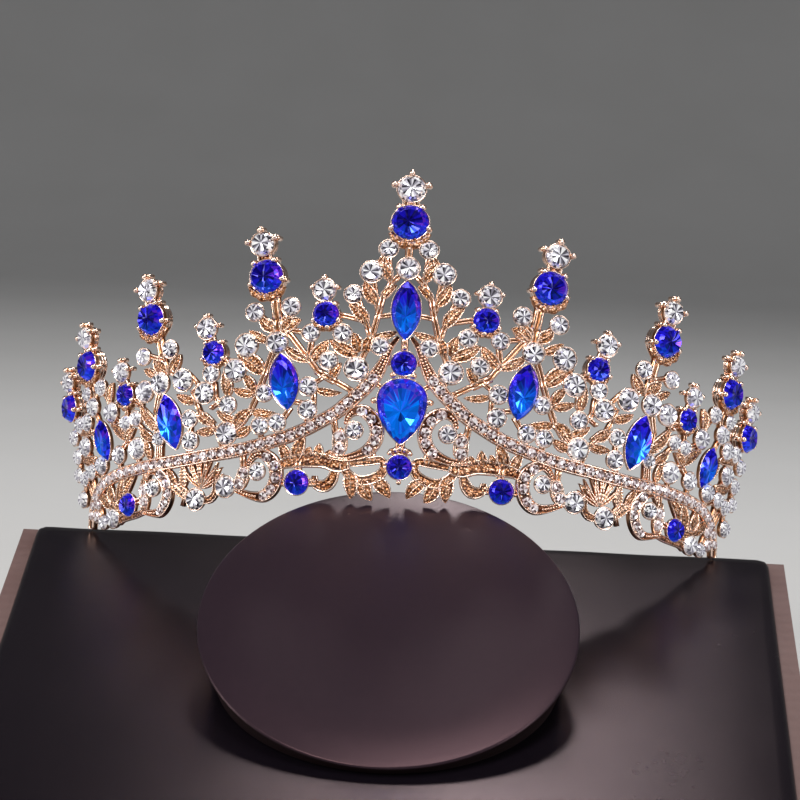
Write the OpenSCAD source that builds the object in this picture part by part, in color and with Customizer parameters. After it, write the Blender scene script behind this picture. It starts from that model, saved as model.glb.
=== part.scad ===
// Baroque tiara resting on its display stand.
// The tiara is charted flat, one half at a time: x runs along the arc from the front
// centre, y rises from the lower edge, z stands out of the plate. point_at() and at()
// then bend the chart round a flared arc, and the other half is its mirror image.

/* [Tiara] */
// Radius of the arc at the lower edge
arc_r = 83; // [75:0.5:92]
// Outward lean of the plate, in degrees
flare = 6.5; // [2:0.5:12]
// Width of the stone-set band
band_w = 2.9; // [2.4:0.1:3.4]
// Thickness of the openwork plate
plate_t = 0.75; // [0.6:0.05:0.8]
// Depth of the closed cups behind the tall finials' stones
finial_depth = 1.9; // [1:0.1:2.5]
// Radius of a prong
prong_r = 0.5; // [0.4:0.05:0.6]

/* [Display stand] */
// Backward tilt of the tiara on the stand, in degrees
lean = 18; // [10:1:25]
// Width of the padded board at its rear edge
board_rear_w = 158; // [150:1:170]
// Width of the padded board at its front edge
board_front_w = 136; // [120:1:150]
// Depth of the board from rear to front
board_depth = 118; // [100:1:140]
// Slope of the board, in degrees
board_slope = 13; // [8:1:18]
// Radius of the round neck's slanted face
neck_r = 35; // [30:1:40]
// Slope of the neck's face, in degrees
neck_slope = 30; // [20:1:40]

/* [Hidden] */

metal_color = [0.86, 0.58, 0.42];
blue_color = [0.05, 0.08, 0.75];
clear_color = [0.92, 0.93, 0.96];
board_color = [0.09, 0.07, 0.08];
backing_color = [0.72, 0.62, 0.55];

seat_z = 1;          // underside of the stones, clear of the cups
cup_rim = 0.35;      // how far a cup reaches past its stone
finial_rim = 0.5;    // the same for the finials' cups
prong_place = 0.6;  // distance of a prong from its stone's centre, in stone widths
rail_z = 1.3;        // top of the band's rails
rib_z = 1.15;        // top of the leaves' ribs
ribbed_w = 2.4;      // the narrowest leaf that has one
table_scale = 0.55;  // table width over girdle width
crown_rise = 0.3;    // crown height over stone width
eye_z = 27;          // height of the point that the chart is seen from, on the arc's axis
eye_d = 30;          // distance from that point to the flat chart
eye_reach = 3.3;     // how far out the chart is pushed, as a multiple of eye_d
shell_sides = 40;    // facets of a whole turn of the flared shell

foot_y = 96.1;       // the arc's axis, behind the middle of the whole
foot_z = -27;        // what the stand rests on, below the arc's lower edge

// Finials: x, y and width of the clear stone, then x, y and width of the blue one.
finials = [
  [28, 48.1, 4.6, 27.1, 41.5, 6.5],
  [55.1, 40.8, 4.6, 54.2, 34.6, 6.4],
  [77.7, 33.5, 4.6, 76.8, 27.3, 6.4],
  [87.7, 25, 4.6, 87, 19.2, 6]
];
small_finials = [
  [15.5, 38.6, 4.2, 15.1, 33.8, 4.7],
  [40, 31.6, 4.2, 38.5, 26.6, 4.6],
  [63.7, 24.4, 4.2, 62.5, 19.5, 4.6]
];
centre_finial = [0, 59, 5, 0, 52.3, 6.6];

// Marquise stones: x, y, length, width, turn.
marquises = [
  [23.2, 20.4, 11.2, 5.6, -9],
  [49.4, 13.1, 11.6, 5.6, -15],
  [70.9, 10.6, 9.3, 4.6, -20]
];
centre_marquise = [0, 34.9, 11.6, 5.2, 0];
pear = [0, 17, 12.7, 9.2];              // x, y of the widest line, length, width
upper_round = [0, 24.4, 4.6];           // x, y, width
lower_round = [0, 4, 4.6];
low_blues = [[20.2, 0.4, 4.7], [62.3, -3.6, 4.6]];
crown_clear = [0, 43.2, 4];

// Clear stones of the field: x, y, width.
clears = [
  [3.7, 47, 3.2], [6.7, 42.3, 4], [10, 37.8, 3.2], [4.6, 27.6, 3.2], [11.8, 30, 3.3],
  [18, 30, 3.2], [22, 35.3, 3.4], [29.4, 34.4, 3.4], [14.4, 24.6, 3.3], [9, 23, 4.3],
  [18.3, 19.4, 3.4], [18.3, 14.8, 3.4], [27.2, 18.1, 3.2], [24.5, 12.2, 3.3], [28.1, 11.6, 3.3],
  [24.7, 28.2, 4], [31.1, 27.8, 4.5], [33.6, 22.8, 4.4], [35.2, 15.9, 3.4], [39, 22.4, 3.4],
  [40.6, 18.5, 4.1], [46, 21.4, 4.4], [35.5, 10.2, 4.3], [44.3, 13.4, 3.3], [44.2, 8.9, 3.6],
  [52, 21.1, 4.3], [56.5, 19.7, 4.3], [49.2, 28, 3.4], [56.7, 27, 3.4], [52.7, 9.7, 2.8],
  [59.4, 14.3, 3], [62.7, 13.6, 3], [59, 8, 4.3], [65.2, 7, 3.6], [67.7, 16.2, 4.1],
  [71.9, 5.3, 3.8], [71.5, 21.9, 3.4], [77.7, 21.2, 3], [75, 18.1, 3.8], [78, 15, 3.8],
  [81.9, 14.8, 3.4], [85, 12.4, 3.4], [79, 9.8, 4], [83.2, 8, 3.2], [76.4, 4.2, 3.2],
  [79.7, 3, 3.2], [83, 4, 3], [80.8, -1.5, 3.4], [9, 10.9, 3.2], [28.6, 2.5, 3.2],
  [35.7, -0.5, 4.1], [42.9, -3, 4.2], [54.4, -0.4, 3.2], [67.8, -6.2, 4], [71.6, -6.9, 2.8]
];

// Seats of the smallest stones, in pairs under the band: x, y, width.
small_seats = [
  [11.7, 9.6, 2.2], [11.8, 7.2, 2.2], [31.5, 2.2, 2.2], [32.5, 0, 2.2], [57.2, -0.7, 2.2],
  [57.1, -3.1, 2.2], [74.5, -5.6, 2.4], [73.8, -3, 2.2]
];

// Band: x, y, width, from under the centre marquise to the end of the arc.
band = [
  [1.2, 29.6, 0.9], [2.6, 27.6, 1.3], [3.8, 24.8, 2.1], [5, 22.3, 2.7],
  [6.4, 20.3, band_w], [8.2, 18.3, band_w], [10, 16.7, band_w], [12.6, 14.4, band_w],
  [15.6, 12.6, band_w], [18.8, 10.9, band_w], [22, 9.6, band_w], [25.4, 8.6, band_w],
  [29.8, 7.4, band_w], [34, 6.6, band_w], [38.6, 6, band_w], [43, 5.4, band_w],
  [47.6, 4.9, band_w], [52, 4.5, band_w], [56, 4.2, band_w], [60, 3.7, band_w],
  [64.5, 3.1, band_w], [68, 2.4, band_w], [71, 1.4, band_w], [73.6, -0.2, band_w],
  [75.4, -2.2, 2.8], [76.6, -4.6, 2.6], [77.4, -8, 2.2]
];
band_rail_from = 4;  // the band's rails start at this station
rail_place = 0.72;   // share of half the band's width

// Scroll strips of the lower border: x, y, width.
scroll_front = [
  [10.6, 12, 0.9], [10.2, 13.6, 1.4], [9, 14.7, 2], [7.4, 14.8, 2.6], [5.6, 13.5, 2.9],
  [4.6, 11.2, 2.9], [4.9, 8.9, 2.9], [6.3, 7, 2.7], [8.6, 5.9, 2], [11, 5.4, 1.4], [13.4, 5.6, 1]
];
scroll_middle = [
  [30.6, 2.6, 0.9], [30.2, 4.6, 1.2], [28.6, 6, 1.8], [26.6, 5.6, 2.6], [24.9, 3.9, 2.9],
  [24.5, 1.4, 2.9], [25.4, -1, 2.9], [27.3, -2.4, 2.6], [29.8, -2.3, 1.8], [33.4, -1.2, 1]
];
scroll_rear = [
  [56.4, 1.2, 0.9], [55.6, 2.6, 1.2], [54, 3.1, 1.8], [52.2, 2.3, 2.6], [50.7, 0.4, 2.8],
  [50.2, -1.8, 2.8], [51, -3.9, 2.8], [52.6, -5.4, 2.4], [54.8, -5.6, 1.6], [57.4, -5.2, 1.2]
];
// Plain strips: the ring over the leaf spray, the acanthus branch and its curl, the
// short ones under the stone pairs, and the swirl of the fan.
spray_ring = [
  [9.6, 4.3, 1.2], [6, 4.9, 1.6], [3.6, 5.2, 1.6], [2.9, 4, 1.7], [3.5, 2.5, 2], [5.2, 1.5, 2],
  [7.4, 1.1, 1.9], [9.4, 1.9, 1.8], [10.6, 3.2, 1.8], [10.8, 4.6, 1.6]
];
acanthus = [
  [9.8, 4.4, 1.6], [12, 3.9, 2.6], [14.5, 5, 2], [17, 5.4, 2.2], [20, 5.2, 2.2],
  [22.6, 4.8, 1.8], [24, 3.6, 1.4]
];
curl = [[12.4, 3, 1.4], [13.2, 0.9, 1.9], [14.6, -0.3, 1.9], [16.4, 0.3, 1.6], [16.6, 1.8, 1]];
pair_front = [[10.9, 11, 1.6], [11.7, 9.6, 2.8], [11.8, 7.2, 2.8], [12.9, 5.9, 1.3], [13.8, 5, 1]];
pair_middle = [[30.8, 3, 1.2], [31.5, 2.2, 2.7], [32.5, 0, 2.7], [34, -0.4, 1.6]];
pair_rear = [[57.4, 1.6, 1], [57.2, -0.7, 2.7], [57.1, -3.1, 2.7], [57.4, -5.2, 1.4]];
fan_swirl = [[38, 0.8, 1.2], [38.1, -1.6, 1.4], [39.4, -3, 1.6], [41.2, -3.2, 1.4]];
end_rim = [[57.4, -5.2, 1.2], [60, -5.8, 1.4], [64.5, -6.4, 1.6], [66, -7.2, 1.4]];

// Leaves: x and y of the base, x and y of the tip, width.
leaves = [
  [5.4, 36, 8, 40.4, 2.4], [7.2, 31.8, 10.9, 36.2, 2.4], [7.4, 26, 6.2, 29.8, 2],
  [8.9, 26.2, 9.8, 30.2, 2.2], [8.8, 25.8, 14.3, 28.8, 2.5], [18.2, 24.6, 14.6, 28.7, 2.5],
  [18.5, 24.6, 23.4, 27.6, 2], [18.2, 24.4, 22.8, 25.2, 1.6], [23.5, 30.6, 20.3, 32.7, 1.9],
  [25.2, 30.8, 28.2, 33.4, 1.9], [27.6, 22, 33.2, 26, 3.3], [29.4, 18.4, 31.9, 21.9, 2],
  [29.4, 18, 34.1, 19.2, 1.8], [29.9, 14.5, 24.9, 14.1, 1.9], [33.8, 11.2, 29.9, 14.9, 2.5],
  [33, 12.4, 37.8, 14.9, 1.9], [35.3, 17.6, 36.3, 22.7, 2.3], [42.8, 16.9, 47.7, 18.6, 1.9],
  [42.4, 14.6, 38.2, 12.4, 2.2], [38, 11.2, 42.9, 10.7, 1.8], [50, 23.6, 53.6, 26.4, 2.2],
  [52.8, 12, 57.9, 17, 2.3], [52.7, 11.4, 56.7, 13.4, 1.8], [62.6, 10, 68, 13.6, 2.2],
  [73.1, 8.4, 75.4, 12.8, 2.1], [75, 6.9, 81, 7.2, 2.1], [75.6, 12.6, 82.4, 12.6, 1.9],
  [5.2, 1.5, 1.6, -2, 2], [7.2, 1.2, 5.1, -2.7, 2.2], [9.8, 2.6, 9.5, -2.4, 2.2],
  [41.4, -0.8, 36.6, 3.4, 2], [41.4, -0.6, 38.9, 4.3, 1.8], [41.5, -0.6, 41.3, 4.8, 1.8],
  [41.6, -0.6, 43.7, 4.7, 1.8], [41.8, -0.8, 45.8, 3.3, 1.9], [46.3, -0.8, 46.2, 4.2, 1.9],
  [45.3, -2.8, 49.8, 0.4, 2], [64, -1.8, 60, 2.6, 2.3], [66, -3, 64.4, 2.4, 2.6],
  [67.5, -3.4, 69, 1.4, 2.6], [69, -4, 73.2, -1, 2.4], [63.8, -4.6, 69.6, -3.4, 2.4]
];

// Stems, bars and joints: x and y of each end, width.
stems = [
  [6.4, 29, 5.2, 34, 1.1], [5.2, 34, 4.6, 37, 1.1], [4.6, 37, 3.2, 40, 1.1],
  [3.2, 40, 1.5, 41.8, 1], [3.2, 40, 3.6, 45.8, 0.9], [5.4, 35, 6.4, 41, 1], [7, 31, 9, 36.6, 1],
  [6.4, 29, 7.1, 31.2, 1.1], [8.5, 32.8, 12.9, 33.8, 1], [1.4, 47.8, 3, 49.8, 1.3],
  [0, 47.7, 1.6, 48, 1.5], [13.6, 32.4, 12.3, 30.8, 0.9], [24, 39.4, 25, 37.3, 1.3],
  [24.8, 37.3, 28.3, 37.6, 1.6], [25.4, 37.4, 24.8, 33, 1.4], [24.8, 33, 24.6, 30, 1.6],
  [22.3, 34, 23.6, 31.2, 1], [28.2, 33.6, 25.6, 31.4, 1], [19.4, 30.2, 23, 30.8, 1],
  [18.5, 25, 22.9, 30.6, 1.2], [18.3, 24.7, 17.9, 28.8, 1.1], [18.5, 25.1, 16.3, 22.2, 1.2],
  [16.5, 22.4, 13.4, 20.7, 1.5], [15.2, 21.5, 17, 20.2, 0.9], [18.5, 13.4, 18.6, 11.6, 1],
  [22, 15, 23.4, 13, 1.1], [24.5, 11.2, 24.4, 9.2, 1], [28.1, 10.6, 28, 8.6, 1],
  [35, 24, 37, 25.6, 1.1], [38.4, 20.4, 38.1, 17.2, 1], [38.2, 17.5, 36.8, 15.7, 1],
  [43.7, 19, 42.7, 16.5, 1], [42.9, 16.8, 41.8, 14.4, 1.1], [42.4, 14.2, 43.6, 13.7, 1],
  [38.2, 11.3, 36.6, 7.4, 1], [44.3, 12.2, 44.3, 10, 1], [44.7, 7.8, 45, 6, 1],
  [47.4, 22.4, 50, 23.8, 1.2], [50.8, 32.6, 52.2, 30.4, 1.3], [52, 30.5, 55.2, 31.2, 1.5],
  [52.4, 30.6, 51.4, 26, 1.5], [51.4, 26.2, 50.6, 22.9, 1.5], [49.8, 27.6, 51.6, 27, 1],
  [55.6, 27.2, 51.6, 26, 1.1], [52, 9, 52.2, 5.2, 0.9], [57.4, 18.2, 58.3, 16.8, 1.1],
  [57.6, 16.8, 61, 18.4, 1.1], [62.5, 17.6, 62.5, 14.4, 1.1], [59, 6.4, 59, 4.4, 1],
  [65.2, 5.6, 65.3, 3.8, 1], [57.5, 11.8, 59.2, 13.4, 1.1], [60.6, 9.2, 63.2, 9.8, 1.2],
  [67.6, 13.4, 67.6, 14.6, 1.4], [68.4, 18, 70.7, 20.8, 1.2], [76, 24.6, 74.2, 20.8, 1.5],
  [72.6, 21.6, 74.4, 21.4, 1.1], [74.4, 21.2, 74.6, 19, 1.5], [76, 19.4, 77, 20.4, 1.2],
  [86.8, 17.2, 81.9, 14.4, 1.5], [79, 11.4, 79, 13.6, 1.2], [80.6, 9.2, 82, 8.5, 1.1],
  [83.1, 6.8, 83, 5, 1.1], [80, 1.8, 80.4, 0, 1.2], [76.4, 5.2, 78, 8.4, 1.1],
  [76.3, 2.8, 75.4, -1.6, 1.2], [71.8, 4, 71.7, 2, 1.2], [5.4, 6.6, 5.2, 4.9, 1.3],
  [16.6, 0.4, 18.2, 0.4, 1.4], [20, 2.6, 20, 4.6, 1.3], [22.4, 0.3, 23.6, 0.3, 1.3],
  [37.4, 0.4, 38.4, 0.8, 1.3], [69.2, -6.4, 70.8, -6.8, 1.4], [72.8, -6.4, 77, -5.6, 1.4],
  [73.2, -3.8, 72.4, -6, 1.2], [73.8, -2.2, 73.4, 0.2, 1.1], [58.2, -2.6, 60.4, -3.2, 1.3],
  [78.6, 1.8, 76, -2, 1.2], [68, -4.6, 67.2, -2.6, 1.4], [78, 15, 82.2, 14.7, 1.5],
  [82.2, 14.6, 84.6, 12.7, 1.5], [59.4, 14.4, 62.7, 13.7, 1.3]
];
// The same for what lies on the centre line.
centre_stems = [
  [0, 44.6, 0, 49.6, 1.3], [0, 29.6, 0, 26, 1.2], [0, 22.6, 0, 20.6, 1.4],
  [-2.9, 24.5, 2.9, 24.5, 1], [-3.4, 24.9, 3.4, 24.9, 0.9], [0, 9.4, 0, 5.6, 1.6],
  [-1.9, 7.2, 1.9, 7.2, 1.8], [-2.8, 4.4, 2.8, 4.4, 1.4], [-5.4, 20.4, -3.4, 19.2, 0.9],
  [5.4, 20.4, 3.4, 19.2, 0.9], [0, 53.6, 0, 58, 1.6]
];

// Bending the chart round the flared arc.
function arc_angle(x) = x / arc_r * 180 / PI;
function point_at(x, y, z) =
  let (r = arc_r + y * sin(flare) + z * cos(flare), a = arc_angle(x))
  [r * sin(a), -r * cos(a), y * cos(flare) - z * sin(flare)];
module at(x, y, z = 0, turn = 0)
  rotate([0, 0, arc_angle(x)]) translate([0, -arc_r, 0]) rotate([90 + flare, 0, 0])
    translate([0, y, z]) rotate([0, 0, turn]) children();

// Outlines of stones and cups, grown by g past the stone.
function round_outline(w, g = 0, n = 8) =
  [for (i = [0 : n - 1]) (w / 2 + g) * [cos((i + 0.5) * 360 / n), sin((i + 0.5) * 360 / n)]];
function marquise_outline(l, w, g = 0) =
  let (k = [[1, 0], [0.5, 0.78], [0, 1], [-0.5, 0.78], [-1, 0], [-0.5, -0.78], [0, -1], [0.5, -0.78]])
  [for (p = k) [-p[1] * (w / 2 + g), p[0] * (l / 2 + 1.5 * g)]];
// Pear: share of the width to the side, and of the length above the widest line.
pear_shape = [[0, 0.34], [-0.62, 0.24], [-1, 0], [-0.84, -0.24], [-0.42, -0.48], [0, -0.66],
              [0.42, -0.48], [0.84, -0.24], [1, 0], [0.62, 0.24]];
function pear_outline(l, w, g = 0) =
  [for (p = pear_shape) [p[0] * (w / 2 + g), p[1] * (l + 2 * g)]];

// A long cut stone: flat foiled back, one ring of crown facets, table.
module gem(outline, w) {
  n = len(outline);
  h = crown_rise * w;
  polyhedron(
    concat([for (p = outline) [p[0], p[1], 0]],
           [for (p = outline) [p[0] * table_scale, p[1] * table_scale, h]]),
    concat([[for (i = [0 : n - 1]) i]], [[for (i = [n - 1 : -1 : 0]) n + i]],
           [for (i = [0 : n - 1]) [i, n + i, n + (i + 1) % n, (i + 1) % n]]));
}
// A round cut stone: eight-sided girdle, square table, twelve crown facets.
module round_gem(w) {
  h = crown_rise * w;
  polyhedron(
    concat([for (i = [0 : 7]) w / 2 * [cos(45 * i), sin(45 * i), 0]],
           [for (i = [0 : 3])
             [table_scale * w / 2 * cos(90 * i), table_scale * w / 2 * sin(90 * i), h]]),
    concat([[0, 1, 2, 3, 4, 5, 6, 7]], [[11, 10, 9, 8]],
           [for (i = [0 : 3]) each [[2 * i, 8 + i, 2 * i + 1],
                                    [2 * i + 1, 8 + i, 8 + (i + 1) % 4],
                                    [2 * i + 1, 8 + (i + 1) % 4, (2 * i + 2) % 8]]]));
}
module stone(x, y, w) at(x, y, seat_z) round_gem(w);
module marquise(m) at(m[0], m[1], seat_z, m[4]) gem(marquise_outline(m[2], m[3]), m[3]);

// The openwork plate is charted flat, as seen from a point on the arc's axis, and pushed
// out through a thin flared shell, so that every gap is cut straight through it.
function seen(x, y) = let (p = point_at(x, y, plate_t / 2)) -eye_d / p[1] * [p[0], p[2] - eye_z];
function across(a, b, w) = let (d = b - a) [-d[1], d[0]] / norm(d) * w / 2;
module bar(b) let (p = [b[0], b[1]], q = [b[2], b[3]], s = across(p, q, b[4]))
  polygon([for (c = [p - s, q - s, q + s, p + s]) seen(c[0], c[1])]);
module leaf(f) let (p = [f[0], f[1]], q = [f[2], f[3]], s = across(p, q, f[4]), m = p + 0.42 * (q - p))
  polygon([for (c = [p, m - s, q, m + s]) seen(c[0], c[1])]);
module seat(x, y, outline, turn = 0)
  polygon([for (p = outline) seen(x + cos(turn) * p[0] - sin(turn) * p[1],
                                  y + sin(turn) * p[0] + cos(turn) * p[1])]);
module round_seat(c, n = 8) seat(c[0], c[1], round_outline(c[2], cup_rim, n));
module marquise_seat(m) seat(m[0], m[1], marquise_outline(m[2], m[3], cup_rim), m[4]);
module finial_seat(f, n = 8) {
  seat(f[0], f[1], round_outline(f[2], finial_rim, n));
  seat(f[3], f[4], round_outline(f[5], finial_rim, n));
  bar([f[3], f[4], f[0], f[1], 1.8]);
}
function side_of(path, i) =
  let (a = path[max(i - 1, 0)], b = path[min(i + 1, len(path) - 1)])
  across([a[0], a[1]], [b[0], b[1]], 2);
module strip(path) {
  n = len(path);
  polygon([for (k = [0 : 2 * n - 1]) let (i = k < n ? k : 2 * n - 1 - k, q = path[i],
            s = side_of(path, i) * q[2] / 2 * (k < n ? 1 : -1)) seen(q[0] + s[0], q[1] + s[1])]);
}
module half_sheet() {
  for (s = [band, scroll_front, scroll_middle, scroll_rear, spray_ring, acanthus, curl,
            pair_front, pair_middle, pair_rear, fan_swirl, end_rim]) strip(s);
  for (f = leaves) leaf(f);
  for (b = stems) bar(b);
  for (c = concat(clears, small_seats)) round_seat(c, 6);
  for (c = low_blues) round_seat(c);
  for (m = marquises) marquise_seat(m);
  for (f = finials) finial_seat(f);
  for (f = small_finials) finial_seat(f, 6);
}
module sheet() {
  both_sides() half_sheet();
  for (b = centre_stems) bar(b);
  for (c = [upper_round, lower_round, crown_clear]) round_seat(c);
  finial_seat(centre_finial);
  marquise_seat(centre_marquise);
  seat(pear[0], pear[1], pear_outline(pear[2], pear[3], cup_rim));
}
// The flared surface z out of the plate's back, its facets half inside the true cone.
module flared(z) {
  drop = 14;
  rise = 70;
  r = (arc_r + z / cos(flare)) * (1 + 1 / cos(180 / shell_sides)) / 2;
  translate([0, 0, -drop])
    cylinder(r1 = r - drop * tan(flare), r2 = r + rise * tan(flare), h = drop + rise, $fn = shell_sides);
}
module plate() intersection() {
  difference() {
    flared(plate_t);
    flared(0);
  }
  translate([0, -eye_d, eye_z]) rotate([90, 0, 0])
    linear_extrude(eye_d * (eye_reach - 1), scale = eye_reach) sheet();
}

// Raised work on the plate: a rib on each leaf and a rail along each edge of the band.
module rib(f) {
  p = [f[0], f[1]];
  d = [f[2], f[3]] - p;
  s = across(p, p + d, 0.62 * f[4]);
  m = p + 0.5 * d;
  base = [p + 0.24 * d, m - s, p + 0.86 * d, m + s];
  polyhedron(concat([for (c = base) point_at(c[0], c[1], plate_t - 0.25)], [point_at(m[0], m[1], rib_z)]),
    [[0, 1, 2, 3], [0, 4, 1], [1, 4, 2], [2, 4, 3], [3, 4, 0]]);
}
rail_profile = [[-0.3, 0.5], [0, rail_z], [0.3, 0.5]];
module rail(path, from, side) {
  stations = [for (i = [from : 2 : len(path) - 1]) i];
  n = len(stations);
  polyhedron(
    [for (i = stations) let (q = path[i], s = side_of(path, i))
      each [for (k = rail_profile) let (c = side * rail_place * q[2] / 2 + k[0])
            point_at(q[0] + c * s[0], q[1] + c * s[1], k[1])]],
    concat([[2, 1, 0]], [[for (j = [0 : 2]) (n - 1) * 3 + j]],
      [for (i = [0 : n - 2], j = [0 : 2])
        [3 * i + j, 3 * i + (j + 1) % 3, 3 * i + 3 + (j + 1) % 3, 3 * i + 3 + j]]));
}

module both_sides() {
  children();
  mirror([1, 0, 0]) children();
}
// The deep cup behind a tall finial's blue stone, and the prongs round its clear one.
module prong(x, y) at(x, y, 0, 45) hull() {
  cylinder(r = prong_r, h = 0.1, $fn = 4);
  translate([0, 0, seat_z + 0.7]) cylinder(r = 0.6 * prong_r, h = 0.1, $fn = 4);
}
module finial_back(f) {
  u = [f[0] - f[3], f[1] - f[4]] / norm([f[0] - f[3], f[1] - f[4]]);
  v = [u[1], -u[0]];
  at(f[3], f[4], -finial_depth) linear_extrude(finial_depth + plate_t / 2)
    polygon(round_outline(f[5], 0.1, 6));
  for (k = [u, v, -v]) prong(f[0] + prong_place * f[2] * k[0], f[1] + prong_place * f[2] * k[1]);
}
module half_relief() {
  for (f = leaves) if (f[4] >= ribbed_w) rib(f);
  for (side = [-1, 1]) rail(band, band_rail_from, side);
  for (f = finials) finial_back(f);
}
module on_stand() translate([0, foot_y, -foot_z]) children();
module on_tiara() on_stand() rotate([-lean, 0, 0]) children();

module frame() color(metal_color) on_tiara() {
  plate();
  both_sides() half_relief();
  finial_back(centre_finial);
}

module centre_stone(c, stone_color) color(stone_color) on_tiara() stone(c[0], c[1], c[2]);
module pear_stone() color(blue_color) on_tiara()
  at(pear[0], pear[1], seat_z) gem(pear_outline(pear[2], pear[3]), 0.7 * pear[3]);
module upper_round_stone() centre_stone(upper_round, blue_color);
module lower_round_stone() centre_stone(lower_round, blue_color);
module centre_marquise_stone() color(blue_color) on_tiara() marquise(centre_marquise);

// One stone of a pair: side is -1 for left and 1 for right, k counts from the front.
module side_marquise(side, k) color(blue_color) on_tiara()
  mirror([side < 0 ? 1 : 0, 0, 0]) marquise(marquises[k - 1]);
module finial_blue(side, k) color(blue_color) on_tiara() let (f = finials[k - 1])
  mirror([side < 0 ? 1 : 0, 0, 0]) stone(f[3], f[4], f[5]);
module finial_clear(side, k) color(clear_color) on_tiara() let (f = finials[k - 1])
  mirror([side < 0 ? 1 : 0, 0, 0]) stone(f[0], f[1], f[2]);
module left_marquise_stone_1() side_marquise(-1, 1);
module left_marquise_stone_2() side_marquise(-1, 2);
module left_marquise_stone_3() side_marquise(-1, 3);
module right_marquise_stone_1() side_marquise(1, 1);
module right_marquise_stone_2() side_marquise(1, 2);
module right_marquise_stone_3() side_marquise(1, 3);
module centre_finial_blue_stone() color(blue_color) on_tiara()
  stone(centre_finial[3], centre_finial[4], centre_finial[5]);
module left_finial_blue_stone_1() finial_blue(-1, 1);
module left_finial_blue_stone_2() finial_blue(-1, 2);
module left_finial_blue_stone_3() finial_blue(-1, 3);
module left_finial_blue_stone_4() finial_blue(-1, 4);
module right_finial_blue_stone_1() finial_blue(1, 1);
module right_finial_blue_stone_2() finial_blue(1, 2);
module right_finial_blue_stone_3() finial_blue(1, 3);
module right_finial_blue_stone_4() finial_blue(1, 4);
module centre_finial_clear_stone() color(clear_color) on_tiara()
  stone(centre_finial[0], centre_finial[1], centre_finial[2]);
module left_finial_clear_stone_1() finial_clear(-1, 1);
module left_finial_clear_stone_2() finial_clear(-1, 2);
module left_finial_clear_stone_3() finial_clear(-1, 3);
module left_finial_clear_stone_4() finial_clear(-1, 4);
module right_finial_clear_stone_1() finial_clear(1, 1);
module right_finial_clear_stone_2() finial_clear(1, 2);
module right_finial_clear_stone_3() finial_clear(1, 3);
module right_finial_clear_stone_4() finial_clear(1, 4);

module small_blue_stones() {
  for (c = low_blues) stone(c[0], c[1], c[2]);
  for (f = small_finials) stone(f[3], f[4], f[5]);
}
module clear_stones() {
  for (c = clears) stone(c[0], c[1], c[2]);
  for (f = small_finials) stone(f[0], f[1], f[2]);
}
module small_blue_stones_right() color(blue_color) on_tiara() small_blue_stones();
module small_blue_stones_left() color(blue_color) on_tiara() mirror([1, 0, 0]) small_blue_stones();
module clear_stones_right() color(clear_color) on_tiara() {
  clear_stones();
  stone(crown_clear[0], crown_clear[1], crown_clear[2]);
}
module clear_stones_left() color(clear_color) on_tiara() mirror([1, 0, 0]) clear_stones();

// Display stand. The board's top slopes down to the front from its rear edge.
rear_y = -47;        // rear edge of the board, in the tiara's frame
rear_z = 7.6;        // height of that edge
pad_t = 2.2;         // thickness of the padded board
side_step = 3.7;     // how far the backing shows past the board's sides
end_step = 1.8;      // how far it shows past the front and rear edges
neck_top = [-75.5, 24.9];  // y and z of the neck's upper rim
neck_plug = 60;      // how far the neck runs down into the board before it is trimmed
neck_taper = 0.235;  // how much its radius shrinks for each millimetre down

module board_outline(side = 0, end = 0) polygon([
  [-board_rear_w / 2 - side, end], [board_rear_w / 2 + side, end],
  [board_front_w / 2 + side, -board_depth - end], [-board_front_w / 2 - side, -board_depth - end]]);
module sloped() translate([0, rear_y, rear_z]) rotate([board_slope, 0, 0]) children();
module neck_column(extra)
  translate([0, neck_top[0], neck_top[1]]) rotate([neck_slope, 0, 0]) translate([0, -neck_r, 0])
    translate([0, 0, -neck_plug]) cylinder(r1 = neck_r - neck_taper * neck_plug + extra, r2 = neck_r + extra,
                                           h = neck_plug, $fn = 128);
module display_board() color(board_color) on_stand() difference() {
  sloped() translate([0, 0, -pad_t]) linear_extrude(pad_t) board_outline();
  neck_column(0.2);
}
module display_backing() color(backing_color) on_stand() difference() {
  sloped() translate([0, 0, -pad_t - 0.1 - 60]) linear_extrude(60) board_outline(side_step, end_step);
  translate([-200, -400, foot_z - 200]) cube([400, 500, 200]);
}
module display_neck() color(board_color) on_stand() difference() {
  neck_column(0);
  sloped() translate([-100, -200, -pad_t - 200]) cube([200, 300, 200]);
}

frame();
pear_stone();
upper_round_stone();
lower_round_stone();
centre_marquise_stone();
left_marquise_stone_1();
left_marquise_stone_2();
left_marquise_stone_3();
right_marquise_stone_1();
right_marquise_stone_2();
right_marquise_stone_3();
centre_finial_blue_stone();
left_finial_blue_stone_1();
left_finial_blue_stone_2();
left_finial_blue_stone_3();
left_finial_blue_stone_4();
right_finial_blue_stone_1();
right_finial_blue_stone_2();
right_finial_blue_stone_3();
right_finial_blue_stone_4();
centre_finial_clear_stone();
left_finial_clear_stone_1();
left_finial_clear_stone_2();
left_finial_clear_stone_3();
left_finial_clear_stone_4();
right_finial_clear_stone_1();
right_finial_clear_stone_2();
right_finial_clear_stone_3();
right_finial_clear_stone_4();
small_blue_stones_left();
small_blue_stones_right();
clear_stones_left();
clear_stones_right();
display_board();
display_backing();
display_neck();
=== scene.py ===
# %% [markdown]
# # A baroque tiara on its display stand
# The tiara is one cast, rose-gold coloured metal piece with foil-backed glass stones set in
# it. It leans back on a dark padded board, in front of a round dark neck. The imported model
# gives the true sizes and places. This lesson gives the tiara its looks: finer metalwork,
# cut stones, and the padding of the stand. The frame comes first, because every new
# piece is made in its coordinates, in metres.

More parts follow.
